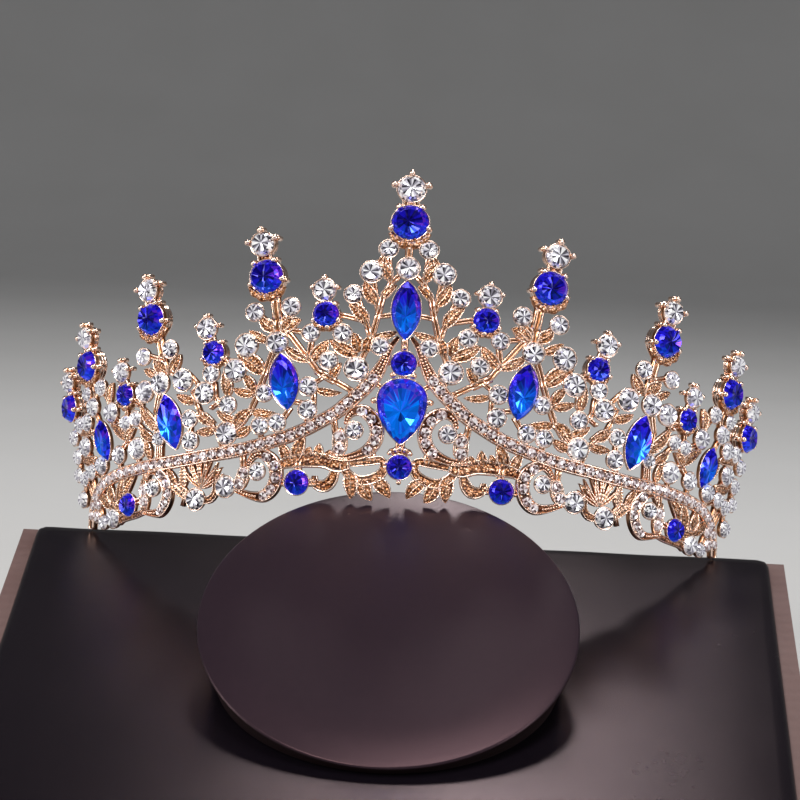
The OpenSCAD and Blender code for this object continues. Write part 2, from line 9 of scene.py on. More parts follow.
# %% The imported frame
import math
import bpy
import numpy as np
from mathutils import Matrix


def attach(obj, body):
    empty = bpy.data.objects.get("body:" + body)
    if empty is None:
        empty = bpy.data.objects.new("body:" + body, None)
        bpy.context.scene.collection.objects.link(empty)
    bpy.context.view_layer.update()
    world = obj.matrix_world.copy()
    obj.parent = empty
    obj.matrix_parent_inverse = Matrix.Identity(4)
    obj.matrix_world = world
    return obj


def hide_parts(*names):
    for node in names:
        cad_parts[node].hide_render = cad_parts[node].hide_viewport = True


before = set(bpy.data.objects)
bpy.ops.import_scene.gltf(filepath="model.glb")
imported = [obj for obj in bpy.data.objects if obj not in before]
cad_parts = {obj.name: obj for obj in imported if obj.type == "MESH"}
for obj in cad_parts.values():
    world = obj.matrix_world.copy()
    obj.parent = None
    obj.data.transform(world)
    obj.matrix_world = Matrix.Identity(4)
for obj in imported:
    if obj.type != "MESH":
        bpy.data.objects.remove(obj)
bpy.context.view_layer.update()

# %% [markdown]
# ## A flat chart for curved work
# The real tiara was cast flat and then bent round a mandrel. The same trick keeps its
# drawing simple: every piece is drawn on a flat chart of millimetres, x along the arc
# from the front centre, y up from the lower edge, z out of the plate. One function then
# bends any array of chart points round the flared arc and leans it back on the stand.

# %% Bending the chart
ARC_RADIUS = 83.0
FLARE = math.radians(6.5)
LEAN = math.radians(18.0)
FOOT = (0.0, 96.1, 27.0)


def bend(chart):
    """Chart millimetres to metres. The angle round the axis is x over the arc's radius. The
    distance from the axis grows with y and z along the flare. Then everything leans back."""
    x, y, z = chart[..., 0], chart[..., 1], chart[..., 2]
    turn = x / ARC_RADIUS
    out = ARC_RADIUS + y * math.sin(FLARE) + z * math.cos(FLARE)
    up = y * math.cos(FLARE) - z * math.sin(FLARE)
    a, b = out * np.sin(turn), -out * np.cos(turn)
    return np.stack([a + FOOT[0],
                     b * math.cos(LEAN) + up * math.sin(LEAN) + FOOT[1],
                     -b * math.sin(LEAN) + up * math.cos(LEAN) + FOOT[2]], -1) / 1000


print("front foot of the arc (m):", bend(np.array([0.0, 0, 0])).round(4))

# %% [markdown]
# ## A box to collect patches in
# A cast piece is made of hundreds of small forms that run into each other. Each form is a
# grid of points with quads between them. Hundreds of Blender objects would be slow and
# untidy, so each form's arrays go into a tray, and the tray becomes one mesh at the end.
# The tray also turns inside-out forms round: it adds up the volume under the faces, and a
# negative sum means that the faces point inwards.

# %% The tray
def volume(points, quads):
    """Six times the volume inside closed quads: each quad is two triangles, and each
    triangle adds the triple product of its corners."""
    a, b, c, d = (points[quads[:, k]] for k in range(4))
    return np.einsum("ij,ij->", a, np.cross(b, c)) + np.einsum("ij,ij->", a, np.cross(c, d))


class Tray:
    """Collects forms: points, quads (a triangle repeats its last corner) and one row of
    named values per point."""

    def __init__(self, *names):
        self.names, self.points, self.quads, self.values, self.count = names, [], [], [], 0

    def add(self, points, quads, values, both=True):
        """Adds a closed form, and its mirror image across the centre line if both is set."""
        for flip in ((1.0, -1.0) if both else (1.0,)):
            placed = points * np.array([flip, 1.0, 1.0])
            turned = quads if volume(placed, quads) > 0 else quads[:, ::-1]
            self.points.append(placed)
            self.quads.append(turned + self.count)
            self.values.append(values)
            self.count += len(points)

    def piece(self, name, material, smooth=True, placed=bend):
        """One mesh object from everything in the tray, with the values as attributes. Of a
        triangle's repeated corner only one is kept."""
        points = placed(np.concatenate(self.points))
        quads = np.concatenate(self.quads)
        values = np.concatenate(self.values)
        kept = quads != np.roll(quads, -1, axis=1)
        sizes, corners = kept.sum(axis=1), quads[kept]
        starts = np.concatenate([[0], np.cumsum(sizes)[:-1]])
        mesh = bpy.data.meshes.new(name)
        mesh.vertices.add(len(points))
        mesh.vertices.foreach_set("co", points.astype(np.float32).ravel())
        mesh.loops.add(len(corners))
        mesh.loops.foreach_set("vertex_index", corners.astype(np.int32))
        mesh.polygons.add(len(sizes))
        mesh.polygons.foreach_set("loop_start", starts.astype(np.int32))
        mesh.polygons.foreach_set("use_smooth", np.full(len(sizes), smooth))
        for k, label in enumerate(self.names):
            layer = mesh.attributes.new(label, "FLOAT", "POINT")
            layer.data.foreach_set("value", values[:, k].astype(np.float32))
        mesh.update(calc_edges=True)
        mesh.validate()
        mesh.materials.append(material)
        piece = bpy.data.objects.new(name, mesh)
        bpy.context.collection.objects.link(piece)
        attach(piece, "root")
        print(name, "points:", len(points), "triangles:", int((sizes - 2).sum()))
        return piece


print("a tray holds points, quads and values; empty now:", Tray("x").count)

# %% [markdown]
# ## Profiles carried along a path
# Wires, leaves, scrolls and the band are all one idea: a closed profile that is carried
# along a path on the chart and scaled to the local width. A bevelled curve could do it,
# but its profile can't change its width and its height apart, and it can't carry the
# recess values that paint shade into the metal's colour. So the sweep is worked out as one array.

# %% Smooth paths
CURVE_STEPS = 24  # points worked out between two stations


def smooth_path(stations, step):
    """A Catmull-Rom curve through the stations: each stretch is the cubic that leaves a
    station in the direction of its two neighbours. It is then walked in even steps."""
    s = np.asarray(stations, float)
    ends = np.vstack([2 * s[0] - s[1], s, 2 * s[-1] - s[-2]])
    p0, p1, p2, p3 = ends[:-3, None], ends[1:-2, None], ends[2:-1, None], ends[3:, None]
    t = np.linspace(0, 1, CURVE_STEPS, endpoint=False)[None, :, None]
    curve = 0.5 * (2 * p1 + (p2 - p0) * t + (2 * p0 - 5 * p1 + 4 * p2 - p3) * t ** 2
                   + (3 * p1 - p0 - 3 * p2 + p3) * t ** 3)
    curve = np.vstack([curve.reshape(-1, s.shape[1]), s[-1:]])
    length = np.concatenate([[0], np.cumsum(np.linalg.norm(np.diff(curve[:, :2], axis=0), axis=1))])
    even = np.linspace(0, length[-1], max(int(length[-1] / step), 4) + 1)
    return np.stack([np.interp(even, length, curve[:, k]) for k in range(s.shape[1])], -1), even


def sideways(path):
    """Unit vectors across a path: its direction turned by a right angle."""
    along = np.gradient(path[:, :2], axis=0)
    along /= np.linalg.norm(along, axis=1, keepdims=True) + 1e-9
    return np.stack([-along[:, 1], along[:, 0]], -1)


quarter = np.array([[0.0, 0.0], [1.0, 1.0], [0.0, 2.0]])
print("a bow through 3 stations, in steps of 0.5:", len(smooth_path(quarter, 0.5)[0]), "points")

# %% Sweeps
FULL_RIM_FROM = 1.2  # millimetres; a strip with a smaller half width has narrower rims
CUT_END = (0.3, 0.0)  # recess (painted shade) and grain where a sweep is cut off


def ring_quads(rows, columns):
    """Quads of a grid whose columns close into a ring, with a fan of flat triangles over
    each end, round two extra points that come last."""
    i, j = np.meshgrid(np.arange(rows - 1), np.arange(columns), indexing="ij")
    i, j, k = i.ravel(), j.ravel(), (j.ravel() + 1) % columns
    sides = np.stack([i * columns + j, i * columns + k, (i + 1) * columns + k, (i + 1) * columns + j], -1)
    j = np.arange(columns)
    k = (j + 1) % columns
    first, last, base = rows * columns, rows * columns + 1, (rows - 1) * columns
    start = np.stack([j, np.full(columns, first), k, k], -1)
    end = np.stack([base + j, base + k, np.full(columns, last), np.full(columns, last)], -1)
    return np.concatenate([sides, start, end])


def sweep(tray, path, half, profile, height=1.0, both=True):
    """Carries a closed profile along a path. Its rows are (share of the half width,
    millimetres more to the side, z, recess, grain); recess is painted shade. z, measured
    from the plate's back, is scaled by height, which may change along the path."""
    profile = np.asarray(profile, float)
    half = np.broadcast_to(np.asarray(half, float), len(path))[:, None]
    height = np.broadcast_to(np.asarray(height, float), len(path))[:, None]
    across = half * profile[None, :, 0] + profile[None, :, 1] * np.minimum(1, half / FULL_RIM_FROM)
    side = sideways(path)
    points = np.stack([path[:, 0:1] + across * side[:, 0:1], path[:, 1:2] + across * side[:, 1:2],
                       height * profile[None, :, 2]], -1)
    rows, columns = points.shape[:2]
    ends = np.stack([points[0].mean(axis=0), points[-1].mean(axis=0)])
    values = np.vstack([np.tile(profile[:, 3:5], (rows, 1)), [CUT_END, CUT_END]])
    tray.add(np.vstack([points.reshape(-1, 3), ends]), ring_quads(rows, columns), values, both)


print("one sweep of a short wire has", ring_quads(4, 6).shape[0], "faces")

# %% [markdown]
# ## Profiles of the metal
# Looked at closely, each kind of metalwork has its own section. Stems are twin wires.
# Leaves have a polished rim, a grainy field and a vein. The band is a channel with two
# polished rims and a floor where the stones sit. Each row below is one corner of such a
# section: share of the half width, extra millimetres, z, recess, grain. Recess is painted
# shade: it darkens the metal in the hollows, on the wires' sides, at the plate's back and
# in the channel's floor, where shade falls. Grain switches the punched texture on. Only
# the left half is written down, because the right half is its mirror image.

# %% Sections
def two_sided(left, middle=()):
    """The left half of a section, its middle corner if it has one, and the mirrored half."""
    right = [(-share, -more, z, recess, grain) for share, more, z, recess, grain in reversed(left)]
    return [*left, *middle, *right]


# The recess values below are painted shade: the wires' sides and the seam between them, the edges round
# the leaves' fields and the channel's floor are painted dark.
twin_wire = two_sided([(-0.9, 0, 0.0, 0.3, 0), (-1.0, 0, 0.45, 1.0, 0), (-0.86, 0, 0.85, 0.5, 0),
                       (-0.52, 0, 1.05, 0, 0), (-0.2, 0, 0.86, 0.7, 0)], [(0, 0, 0.55, 1.0, 0)])
leaf_section = two_sided([(-0.82, 0, 0.0, 0.3, 0), (-1.0, 0, 0.3, 0.9, 0), (-1.0, 0, 0.8, 0.3, 0),
                          (-0.93, 0, 1.05, 0, 0), (-0.8, 0, 1.0, 0.1, 0), (-0.7, 0, 0.74, 0.8, 0.6),
                          (-0.4, 0, 0.92, 0.1, 1), (-0.14, 0, 0.94, 0.35, 1)], [(0, 0, 1.12, 0.05, 0.2)])
strip_section = two_sided([(-0.85, 0, 0.0, 0.3, 0), (-1.0, 0, 0.3, 0.9, 0), (-1.0, 0, 0.85, 0.3, 0),
                           (-0.9, 0, 1.12, 0, 0), (-0.74, 0, 1.05, 0.1, 0), (-0.62, 0, 0.8, 0.9, 0.6),
                           (-0.3, 0, 0.92, 0.3, 1)], [(0, 0, 0.98, 0.2, 1)])
channel_section = two_sided([(-0.9, 0, 0.0, 0.3, 0), (-1.0, 0, 0.3, 0.9, 0), (-1.0, 0.06, 1.0, 0.2, 0),
                             (-1.0, 0.14, 1.25, 0, 0), (-1.0, 0.28, 1.38, 0, 0),
                             (-1.0, 0.42, 1.25, 0.05, 0), (-1.0, 0.5, 0.95, 0.9, 0),
                             (-0.3, 0, 0.9, 1, 0.4)])
sections = twin_wire, leaf_section, strip_section, channel_section
print("corners of the sections:", [len(section) for section in sections])

# %% [markdown]
# ## Rose-coloured metal
# The real metal is a zinc casting with a thin rose-gold plating. The plating is bright on
# the rims that were polished, and duller in the recesses that no wheel reaches; the dark
# orange and brown painted there is painted shade. The punched fields scatter tiny glints.
# A flat metal colour would lose all of that, so the material reads two values that the
# forms carry: recess, which paints shade into the colour and roughens it, and grain, which
# lets a cell pattern dent the surface and paints shade into the hollows between the cells.

# %% Sockets that do sums
class Wire:
    """Wraps a shader socket, so that sums on it add Math nodes."""

    def __init__(self, sheet, socket):
        self.sheet, self.socket = sheet, socket

    def _sum(self, operation, *terms):
        return self.sheet.node("ShaderNodeMath", {"operation": operation}, terms)[0]

    def __add__(self, other): return self._sum("ADD", self, other)
    def __sub__(self, other): return self._sum("SUBTRACT", self, other)
    def __rsub__(self, other): return self._sum("SUBTRACT", other, self)
    def __mul__(self, other): return self._sum("MULTIPLY", self, other)
    __radd__, __rmul__ = __add__, __mul__

    def clipped(self):
        """The value held between 0 and 1."""
        return self.sheet.node("ShaderNodeClamp", {}, [self])[0]


class Finish:
    """A material with one shader, and one way of adding any other node."""

    def __init__(self, name, **fixed):
        self.material = bpy.data.materials.new(name)
        self.material.use_nodes = True
        self.tree = self.material.node_tree
        self.shader = self.tree.nodes["Principled BSDF"]
        for label, value in fixed.items():
            self.shader.inputs[label.replace("_", " ")].default_value = value

    def node(self, kind, settings, values):
        """Adds a node: settings first, then a value or a link for each input, by place or name."""
        made = self.tree.nodes.new(kind)
        for key, value in settings.items():
            if key == "stops":
                ramp = made.color_ramp
                while len(ramp.elements) < len(value):
                    ramp.elements.new(1.0)
                for element, (place, colour) in zip(ramp.elements, value):
                    element.position, element.color = place, (*colour, 1.0)
            else:
                setattr(made, key, value)
        pairs = values.items() if isinstance(values, dict) else enumerate(values)
        for key, value in pairs:
            if isinstance(value, Wire):
                self.tree.links.new(value.socket, made.inputs[key])
            else:
                made.inputs[key].default_value = value
        return [Wire(self, s) for s in made.outputs]

    def carried(self, label):
        """A value that the piece carries at each point."""
        return self.node("ShaderNodeAttribute", {"attribute_name": label}, {})[2]

    def place(self):
        """The point on the piece, in metres."""
        return self.node("ShaderNodeTexCoord", {}, {})[3]

    def noise(self, place, scale, detail):
        """Clouds of about 1 / scale metres, between 0 and 1."""
        return self.node("ShaderNodeTexNoise", {}, {"Vector": place, "Scale": scale, "Detail": detail})[0]

    def mixed(self, share, one, other):
        """A colour between two others."""
        return self.node("ShaderNodeMix", {"data_type": "RGBA"}, {0: share, 6: one, 7: other})[2]

    def set(self, label, wire):
        """Lets a wire drive one of the shader's own sockets."""
        self.tree.links.new(wire.socket, self.shader.inputs[label])

    def dent(self, height, depth):
        """Feeds the shader's normal with a bump of that height pattern, depth in metres."""
        bump = self.node("ShaderNodeBump", {}, {"Strength": 1.0, "Distance": depth, "Height": height})
        self.set("Normal", bump[0])


print("the shader's maths is ready")

# %% Rose metal
# Tones from the pale polished plating to the near black of painted shade.
plating_shade_tones = [(0.0, (0.95, 0.72, 0.60)), (0.25, (0.95, 0.60, 0.42)), (0.52, (0.60, 0.26, 0.105)),
                 (0.82, (0.13, 0.035, 0.012)), (1.0, (0.02, 0.005, 0.003))]
PUNCH_MARKS = 2100.0  # punched cells in a metre
PUNCH_DEPTH = 0.00034


def rose_metal(name):
    """Depth is recess, plus the hollows between the punched cells where there is grain, plus
    waves. It picks the colour from the tones, so the hollows get painted shade, and a slow
    cloud shifts it a little from place to place. The roughness grows with recess and grain."""
    finish = Finish(name, Metallic=1.0, Coat_Weight=0.25, Coat_Roughness=0.08)
    recess, grain, place = finish.carried("recess"), finish.carried("grain"), finish.place()
    cells = finish.node("ShaderNodeTexVoronoi", {"feature": "F1"},
                        {"Vector": place, "Scale": PUNCH_MARKS})[0]
    waves, cloud = finish.noise(place, 900.0, 3.0), finish.noise(place, 120.0, 2.0)
    # Painted shade: recess and the hollows between the punched cells darken the colour.
    pit_shade = (cells * 2.2 - 0.5).clipped() * grain
    deep = (recess * 0.82 + pit_shade * 0.6 + (waves - 0.48) * (recess + grain) * 0.5).clipped()
    shaded_plating = finish.node("ShaderNodeValToRGB", {"stops": plating_shade_tones}, [deep])[0]
    shift = ((cloud - 0.4) * 0.4).clipped()
    finish.set("Base Color", finish.mixed(shift, shaded_plating, (1.0, 0.62, 0.46, 1.0)))
    finish.set("Roughness", (0.2 + recess * 0.2 + grain * 0.08 + (waves - 0.5) * 0.05).clipped())
    finish.dent((1 - cells) * grain + waves * (recess * 0.25 + grain * 0.4), PUNCH_DEPTH)
    return finish.material


metal = rose_metal("rose_metal")
print("metal nodes:", len(metal.node_tree.nodes))

# %% [markdown]
# ## Leaves
# Each leaf is a pointed oval with its widest place below the middle. Its midline bends a
# little, as a hand-modelled leaf does, and its height swells towards the middle. The leaf
# section is swept along that midline. The table is the drawing of one half of the tiara,
# in chart millimetres: x and y of the base, x and y of the tip, and the greatest width.
# Low at each side, a fan of thin twin-wire petals and two smooth leaves grow from one foot.

# %% Drawing of the leaves
leaves = [
    [3.2, 40.6, 4.2, 45, 2.1], [3.3, 40.8, 5.8, 44.4, 1.9], [5.4, 36, 8, 40.4, 2.4],
    [7.2, 31.8, 10.9, 36.2, 2.4], [4.8, 36.8, 1.9, 39.8, 1.6], [6, 29.4, 1.4, 30.7, 1.5],
    [7.4, 26, 6.2, 29.8, 2], [8.9, 26.2, 9.8, 30.2, 2.2], [8.8, 25.8, 14.3, 28.8, 2.5],
    [18.2, 24.6, 14.6, 28.7, 2.5], [18.5, 24.6, 23.4, 27.6, 2], [18.2, 24.4, 22.8, 25.2, 1.6],
    [13.8, 20.9, 11.9, 24.2, 1.9], [16.9, 18.9, 11.7, 18.3, 1.5], [23.8, 30.4, 20.1, 32.8, 2.5],
    [24.3, 30.8, 22, 34.2, 2.2], [25.2, 30.8, 28.3, 33.3, 2.5], [27.6, 22, 33.2, 26, 3.3],
    [26.6, 28.6, 30.6, 30.8, 1.9], [29.4, 18.4, 31.9, 21.9, 2], [29.4, 18, 34.1, 19.2, 1.8],
    [29.9, 14.5, 24.9, 14.1, 1.9], [33.8, 11.2, 29.9, 14.9, 2.5], [33.8, 9.8, 30, 11.6, 2],
    [33, 12.4, 37.8, 14.9, 1.9], [35.3, 17.6, 36.3, 22.7, 2.3], [42.8, 16.9, 47.7, 18.6, 1.9],
    [42.4, 14.6, 38.2, 12.4, 2.2], [38, 11.2, 42.9, 10.7, 1.8], [49.6, 23.2, 46.8, 26.8, 2.3],
    [50.2, 23.4, 53.8, 26.5, 2.7], [53.4, 22.4, 56.7, 24.3, 1.6], [52.8, 12, 57.9, 17, 2.3],
    [52.7, 11.4, 56.7, 13.4, 1.8], [54.4, 9.6, 58, 12.4, 2], [55.5, 5.6, 56.7, 9.8, 1.9],
    [63, 9.6, 60, 12.3, 2], [62.6, 10, 68, 13.6, 2.2], [68.4, 18.2, 67.4, 22.6, 2],
    [73.1, 8.4, 75.4, 12.8, 2.1], [75, 6.9, 81, 7.2, 2.1], [75.6, 12.6, 82.4, 12.6, 1.9],
    [5, 1.5, 1.6, -2.1, 2.6], [7.3, 1.3, 5.1, -2.7, 2.8], [9.9, 2.8, 9.3, -2.5, 2.8],
    [16.5, 5, 15.8, 8.2, 1.9], [20.5, 4.6, 18.8, 9.5, 2.4], [22.2, 4.2, 23.9, 8.2, 2.1],
    [18.1, 5.2, 17.6, 7.5, 1.5], [14.6, 5.2, 13.6, 7, 1.4], [38.4, 1.4, 36.9, 3.2, 1.2],
    [48, -0.4, 50.6, 3.6, 1.5], [64, -1.8, 60, 2.6, 2.3], [66, -3, 64.4, 2.4, 2.6],
    [67.5, -3.4, 69, 1.4, 2.6], [69, -4, 73.2, -1, 2.4], [63.8, -4.6, 69.6, -3.4, 2.4]]
print("plain leaves a side:", len(leaves))

# %% Leaves
RIPPLE = 0.75  # millimetres from one ripple of a leaf's edge to the next
LEAF_STEP = 0.22  # millimetres from one row of points to the next
LEAF_FULLNESS = 1.12  # the leaf's outer edge, over the width in the table
THINNEST = 0.06


def leaf(tray, x0, y0, x1, y1, width, curve, ribs=0.05, section=leaf_section):
    """Midline: the straight line from base to tip plus an arc to one side. Half width: the
    sine of pi times the distance to the power 0.8, which is widest a little below the middle,
    to the power 0.68, which rounds it. The height swells towards the middle and ripples."""
    base, along = np.array([x0, y0]), np.array([x1 - x0, y1 - y0])
    length = math.hypot(*along)
    u = np.linspace(0.0, 1.0, max(int(length / LEAF_STEP), 10))
    side = np.array([-along[1], along[0]])
    path = base + u[:, None] * along + (curve * np.sin(np.pi * u))[:, None] * side
    ripple = np.cos(2 * np.pi * u * round(length / RIPPLE))
    oval = np.sin(np.pi * u ** 0.8) ** 0.68
    half = np.maximum(width / 2 * LEAF_FULLNESS * oval * (1 + 0.04 * ripple), THINNEST)
    height = (0.88 + 0.36 * np.sin(np.pi * u)) * (1 + ribs * ripple)
    sweep(tray, path, half, section, height)


leaf_tray = Tray("recess", "grain")
for k, row in enumerate(leaves):
    leaf(leaf_tray, *row, curve=0.07 * (1 if k % 2 else -1))
print("leaves in the tray:", len(leaf_tray.points))

# %% Fan of petals
FAN_FOOT, PETAL_WIDTH = (41.5, -0.8), 0.98
petal_tips = [(36.6, 3.4), (37.6, 4.4), (38.9, 4.9), (40.2, 5.2), (41.4, 5.3), (42.7, 5.2),
              (43.9, 4.9), (45.0, 4.2), (45.9, 3.2), (36.4, 2.1)]
smooth_leaves = [[46.3, -0.8, 46.2, 4.2, 1.9], [45.3, -2.8, 49.8, 0.4, 2.0]]
smooth_section = [(*corner[:4], 0.0) for corner in leaf_section]  # without the grain
for k, tip in enumerate(petal_tips):
    leaf(leaf_tray, *FAN_FOOT, *tip, PETAL_WIDTH, curve=0.05 * (1 if k % 2 else -1), section=twin_wire)
for row in smooth_leaves:
    leaf(leaf_tray, *row, curve=0.08, ribs=0.2, section=smooth_section)
leaves_piece = leaf_tray.piece("tiara_leaves", metal)

# %% [markdown]
# ## Stems
# The stems are pairs of wires that lie side by side. One profile with two humps gives
# both wires and the seam between them, painted dark as painted shade, in one sweep. A stem
# runs a little way into what it meets, so that the two look soldered. A row of the table is
# one straight stem: x and y of both ends, and the width. The centre's own stems aren't mirrored.

# %% Drawing of the stems
stems = [
    [2.4, 33.9, 5, 33.5, 0.9], [6.4, 29, 5.2, 34, 1.1], [5.2, 34, 4.6, 37, 1.1],
    [4.6, 37, 3.2, 40, 1.1], [3.2, 40, 1.5, 41.8, 1], [3.2, 40, 3.6, 45.8, 0.9], [5.4, 35, 6.4, 41, 1],
    [7, 31, 9, 36.6, 1], [6.4, 29, 7.1, 31.2, 1.1], [8.5, 32.8, 12.9, 33.8, 1],
    [1.4, 47.8, 3, 49.8, 1.3], [0, 47.7, 1.6, 48, 1.5], [4.4, 45.9, 5.6, 44.1, 0.9],
    [6.4, 29, 8.2, 24.8, 1.1], [8.3, 21.2, 7, 19.6, 1.1], [12.4, 27.4, 13.4, 25.8, 0.9],
    [13.6, 32.4, 12.3, 30.8, 0.9], [16.4, 32.2, 17.5, 31, 0.9], [24, 39.4, 25, 37.3, 1.3],
    [24.8, 37.3, 28.3, 37.6, 1.6], [25.4, 37.4, 24.8, 33, 1.9], [24.8, 33, 24.6, 30, 2.1],
    [22.3, 34, 23.6, 31.2, 1], [28.2, 33.6, 25.6, 31.4, 1], [19.4, 30.2, 23, 30.8, 1],
    [18.5, 25, 22.9, 30.6, 1.2], [18.3, 24.7, 17.9, 28.8, 1.1], [18.5, 25.1, 16.3, 22.2, 1.2],
    [16.5, 22.4, 13.4, 20.7, 1.5], [13.5, 20.8, 9.4, 18.5, 1.1], [15.2, 21.5, 17, 20.2, 0.9],
    [17.2, 18.4, 17.2, 15.6, 1], [18.5, 13.4, 18.6, 11.6, 1], [19.6, 16.2, 21.6, 16.4, 1],
    [25.5, 27, 27.2, 22.3, 1.2], [27.1, 22.5, 28.9, 17.6, 1.2], [28.8, 17.9, 30.4, 14.4, 1.2],
    [22, 15, 23.4, 13, 1.1], [24.5, 11.2, 24.4, 9.2, 1], [28.1, 10.6, 28, 8.6, 1],
    [30.2, 14.4, 33.6, 11.4, 1], [35, 24, 37, 25.6, 1.1], [38.4, 20.4, 38.1, 17.2, 1],
    [38.2, 17.5, 36.8, 15.7, 1], [42, 20.2, 43.6, 18.7, 1], [43.7, 19, 42.7, 16.5, 1],
    [42.9, 16.8, 41.8, 14.4, 1.1], [42.4, 14.2, 43.6, 13.7, 1], [41.8, 14.6, 38.2, 11, 1],
    [38.2, 11.3, 36.6, 7.4, 1], [44.3, 12.2, 44.3, 10, 1], [44.7, 7.8, 45, 6, 1],
    [42.2, 20.2, 44.5, 22.4, 1], [47.4, 22.4, 50, 23.8, 1.2], [50.8, 32.6, 52.2, 30.4, 1.3],
    [52, 30.5, 55.2, 31.2, 1.5], [52.4, 30.6, 51.4, 26, 1.9], [51.4, 26.2, 50.6, 22.9, 2],
    [49.8, 27.6, 51.6, 27, 1], [55.6, 27.2, 51.6, 26, 1.1], [52.6, 19.2, 53.7, 15.2, 1.2],
    [53.6, 15.6, 52.8, 12.6, 1.1], [52, 9, 52.2, 5.2, 0.9], [53.1, 8.8, 53.4, 5, 0.9],
    [57.4, 18.2, 58.3, 16.8, 1.1], [57.6, 16.8, 61, 18.4, 1.1], [62.5, 17.6, 62.5, 14.4, 1.1],
    [59, 6.4, 59, 4.4, 1], [65.2, 5.6, 65.3, 3.8, 1], [57.5, 11.8, 59.2, 13.4, 1.1],
    [62.8, 9.4, 64.4, 8.2, 1.2], [60.6, 9.2, 63.2, 9.8, 1.2], [67.6, 13.4, 67.6, 14.6, 1.4],
    [68.4, 18, 70.7, 20.8, 1.2], [76, 24.6, 74.2, 20.8, 1.5], [72.6, 21.6, 74.4, 21.4, 1.1],
    [74.4, 21.2, 74.6, 19, 1.5], [76, 19.4, 77, 20.4, 1.2], [78.7, 26.2, 79.4, 24.6, 1],
    [86.8, 17.2, 81.9, 14.4, 1.5], [79, 11.4, 79, 13.6, 1.2], [80.6, 9.2, 82, 8.5, 1.1],
    [83.1, 6.8, 83, 5, 1.1], [80, 1.8, 80.4, 0, 1.2], [76.4, 5.2, 78, 8.4, 1.1],
    [76.3, 2.8, 75.4, -1.6, 1.2], [71.8, 4, 71.7, 2, 1.2], [73, 14.4, 74.4, 16.8, 1.1],
    [66.6, 14.8, 64, 13.8, 1], [71, 2.6, 75.4, 3.8, 1.2], [13.2, 13.4, 12.7, 10.4, 1.2],
    [5.4, 6.6, 5.2, 4.9, 1.3], [16.6, 0.4, 18.2, 0.4, 1.4], [20, 2.6, 20, 4.6, 1.3],
    [22.4, 0.3, 23.6, 0.3, 1.3], [31.9, 5.8, 31.8, 3.2, 1.2], [45.5, -1.2, 46.4, -4, 0.9],
    [37.4, 0.4, 38.4, 0.8, 1.3], [45.2, -2, 46.4, -0.4, 1.2], [57, 3.4, 57.2, 1.2, 1.1],
    [69.2, -6.4, 70.8, -6.8, 1.4], [72.8, -6.4, 77, -5.6, 1.4], [73.2, -3.8, 72.4, -6, 1.2],
    [73.8, -2.2, 73.4, 0.2, 1.1], [49.2, 0.2, 46.8, -1, 1.2], [58.2, -2.6, 60.4, -3.2, 1.3],
    [78.6, 1.8, 76, -2, 1.2], [68, -4.6, 67.2, -2.6, 1.4], [78, 15, 82.2, 14.7, 1.5],
    [82.2, 14.6, 84.6, 12.7, 1.5], [59.4, 14.4, 62.7, 13.7, 1.3], [37.5, 16.5, 39, 15.5, 0.8]]
centre_stems = [
    [0, 44.6, 0, 49.6, 1.3], [0, 29.6, 0, 26, 1.2], [0, 22.6, 0, 20.6, 1.4],
    [-2.9, 24.5, 2.9, 24.5, 1], [0, 9.4, 0, 5.6, 1.6], [-1.2, 6.9, 1.2, 6.9, 1.2],
    [-2.8, 4.4, 2.8, 4.4, 1.4], [-5.4, 20.4, -3.4, 19.2, 0.9], [5.4, 20.4, 3.4, 19.2, 0.9],
    [0, 53.6, 0, 58, 1.6]]
print("stems a side:", len(stems))

# %% Stems
SOLDERED = 0.3  # millimetres that a stem runs on into what it meets
STEM_STEP = 1.2
STEM_FULLNESS = 1.15  # the wires' outer edges, over the width in the table


def stem(tray, x0, y0, x1, y1, width, both=True):
    """The straight line between two points, run on a little at each end."""
    a, b = np.array([x0, y0]), np.array([x1, y1])
    run = (b - a) / np.linalg.norm(b - a) * SOLDERED
    steps = max(int(np.linalg.norm(b - a) / STEM_STEP), 2) + 1
    path = (a - run) + np.linspace(0, 1, steps)[:, None] * (b - a + 2 * run)
    sweep(tray, path, width / 2 * STEM_FULLNESS, twin_wire, both=both)


stem_tray = Tray("recess", "grain")
for row in stems:
    stem(stem_tray, *row)
for row in centre_stems:
    stem(stem_tray, *row, both=False)
stems_piece = stem_tray.piece("tiara_stems", metal)

# %% [markdown]
# ## Band, scrolls and borders
# The band that carries the small stones is a channel. So are the six scrolls. The borders
# below are solid strips with a polished rim and a grainy field. Each is a row of stations:
# x, y and the full width there. A smooth path runs through them.

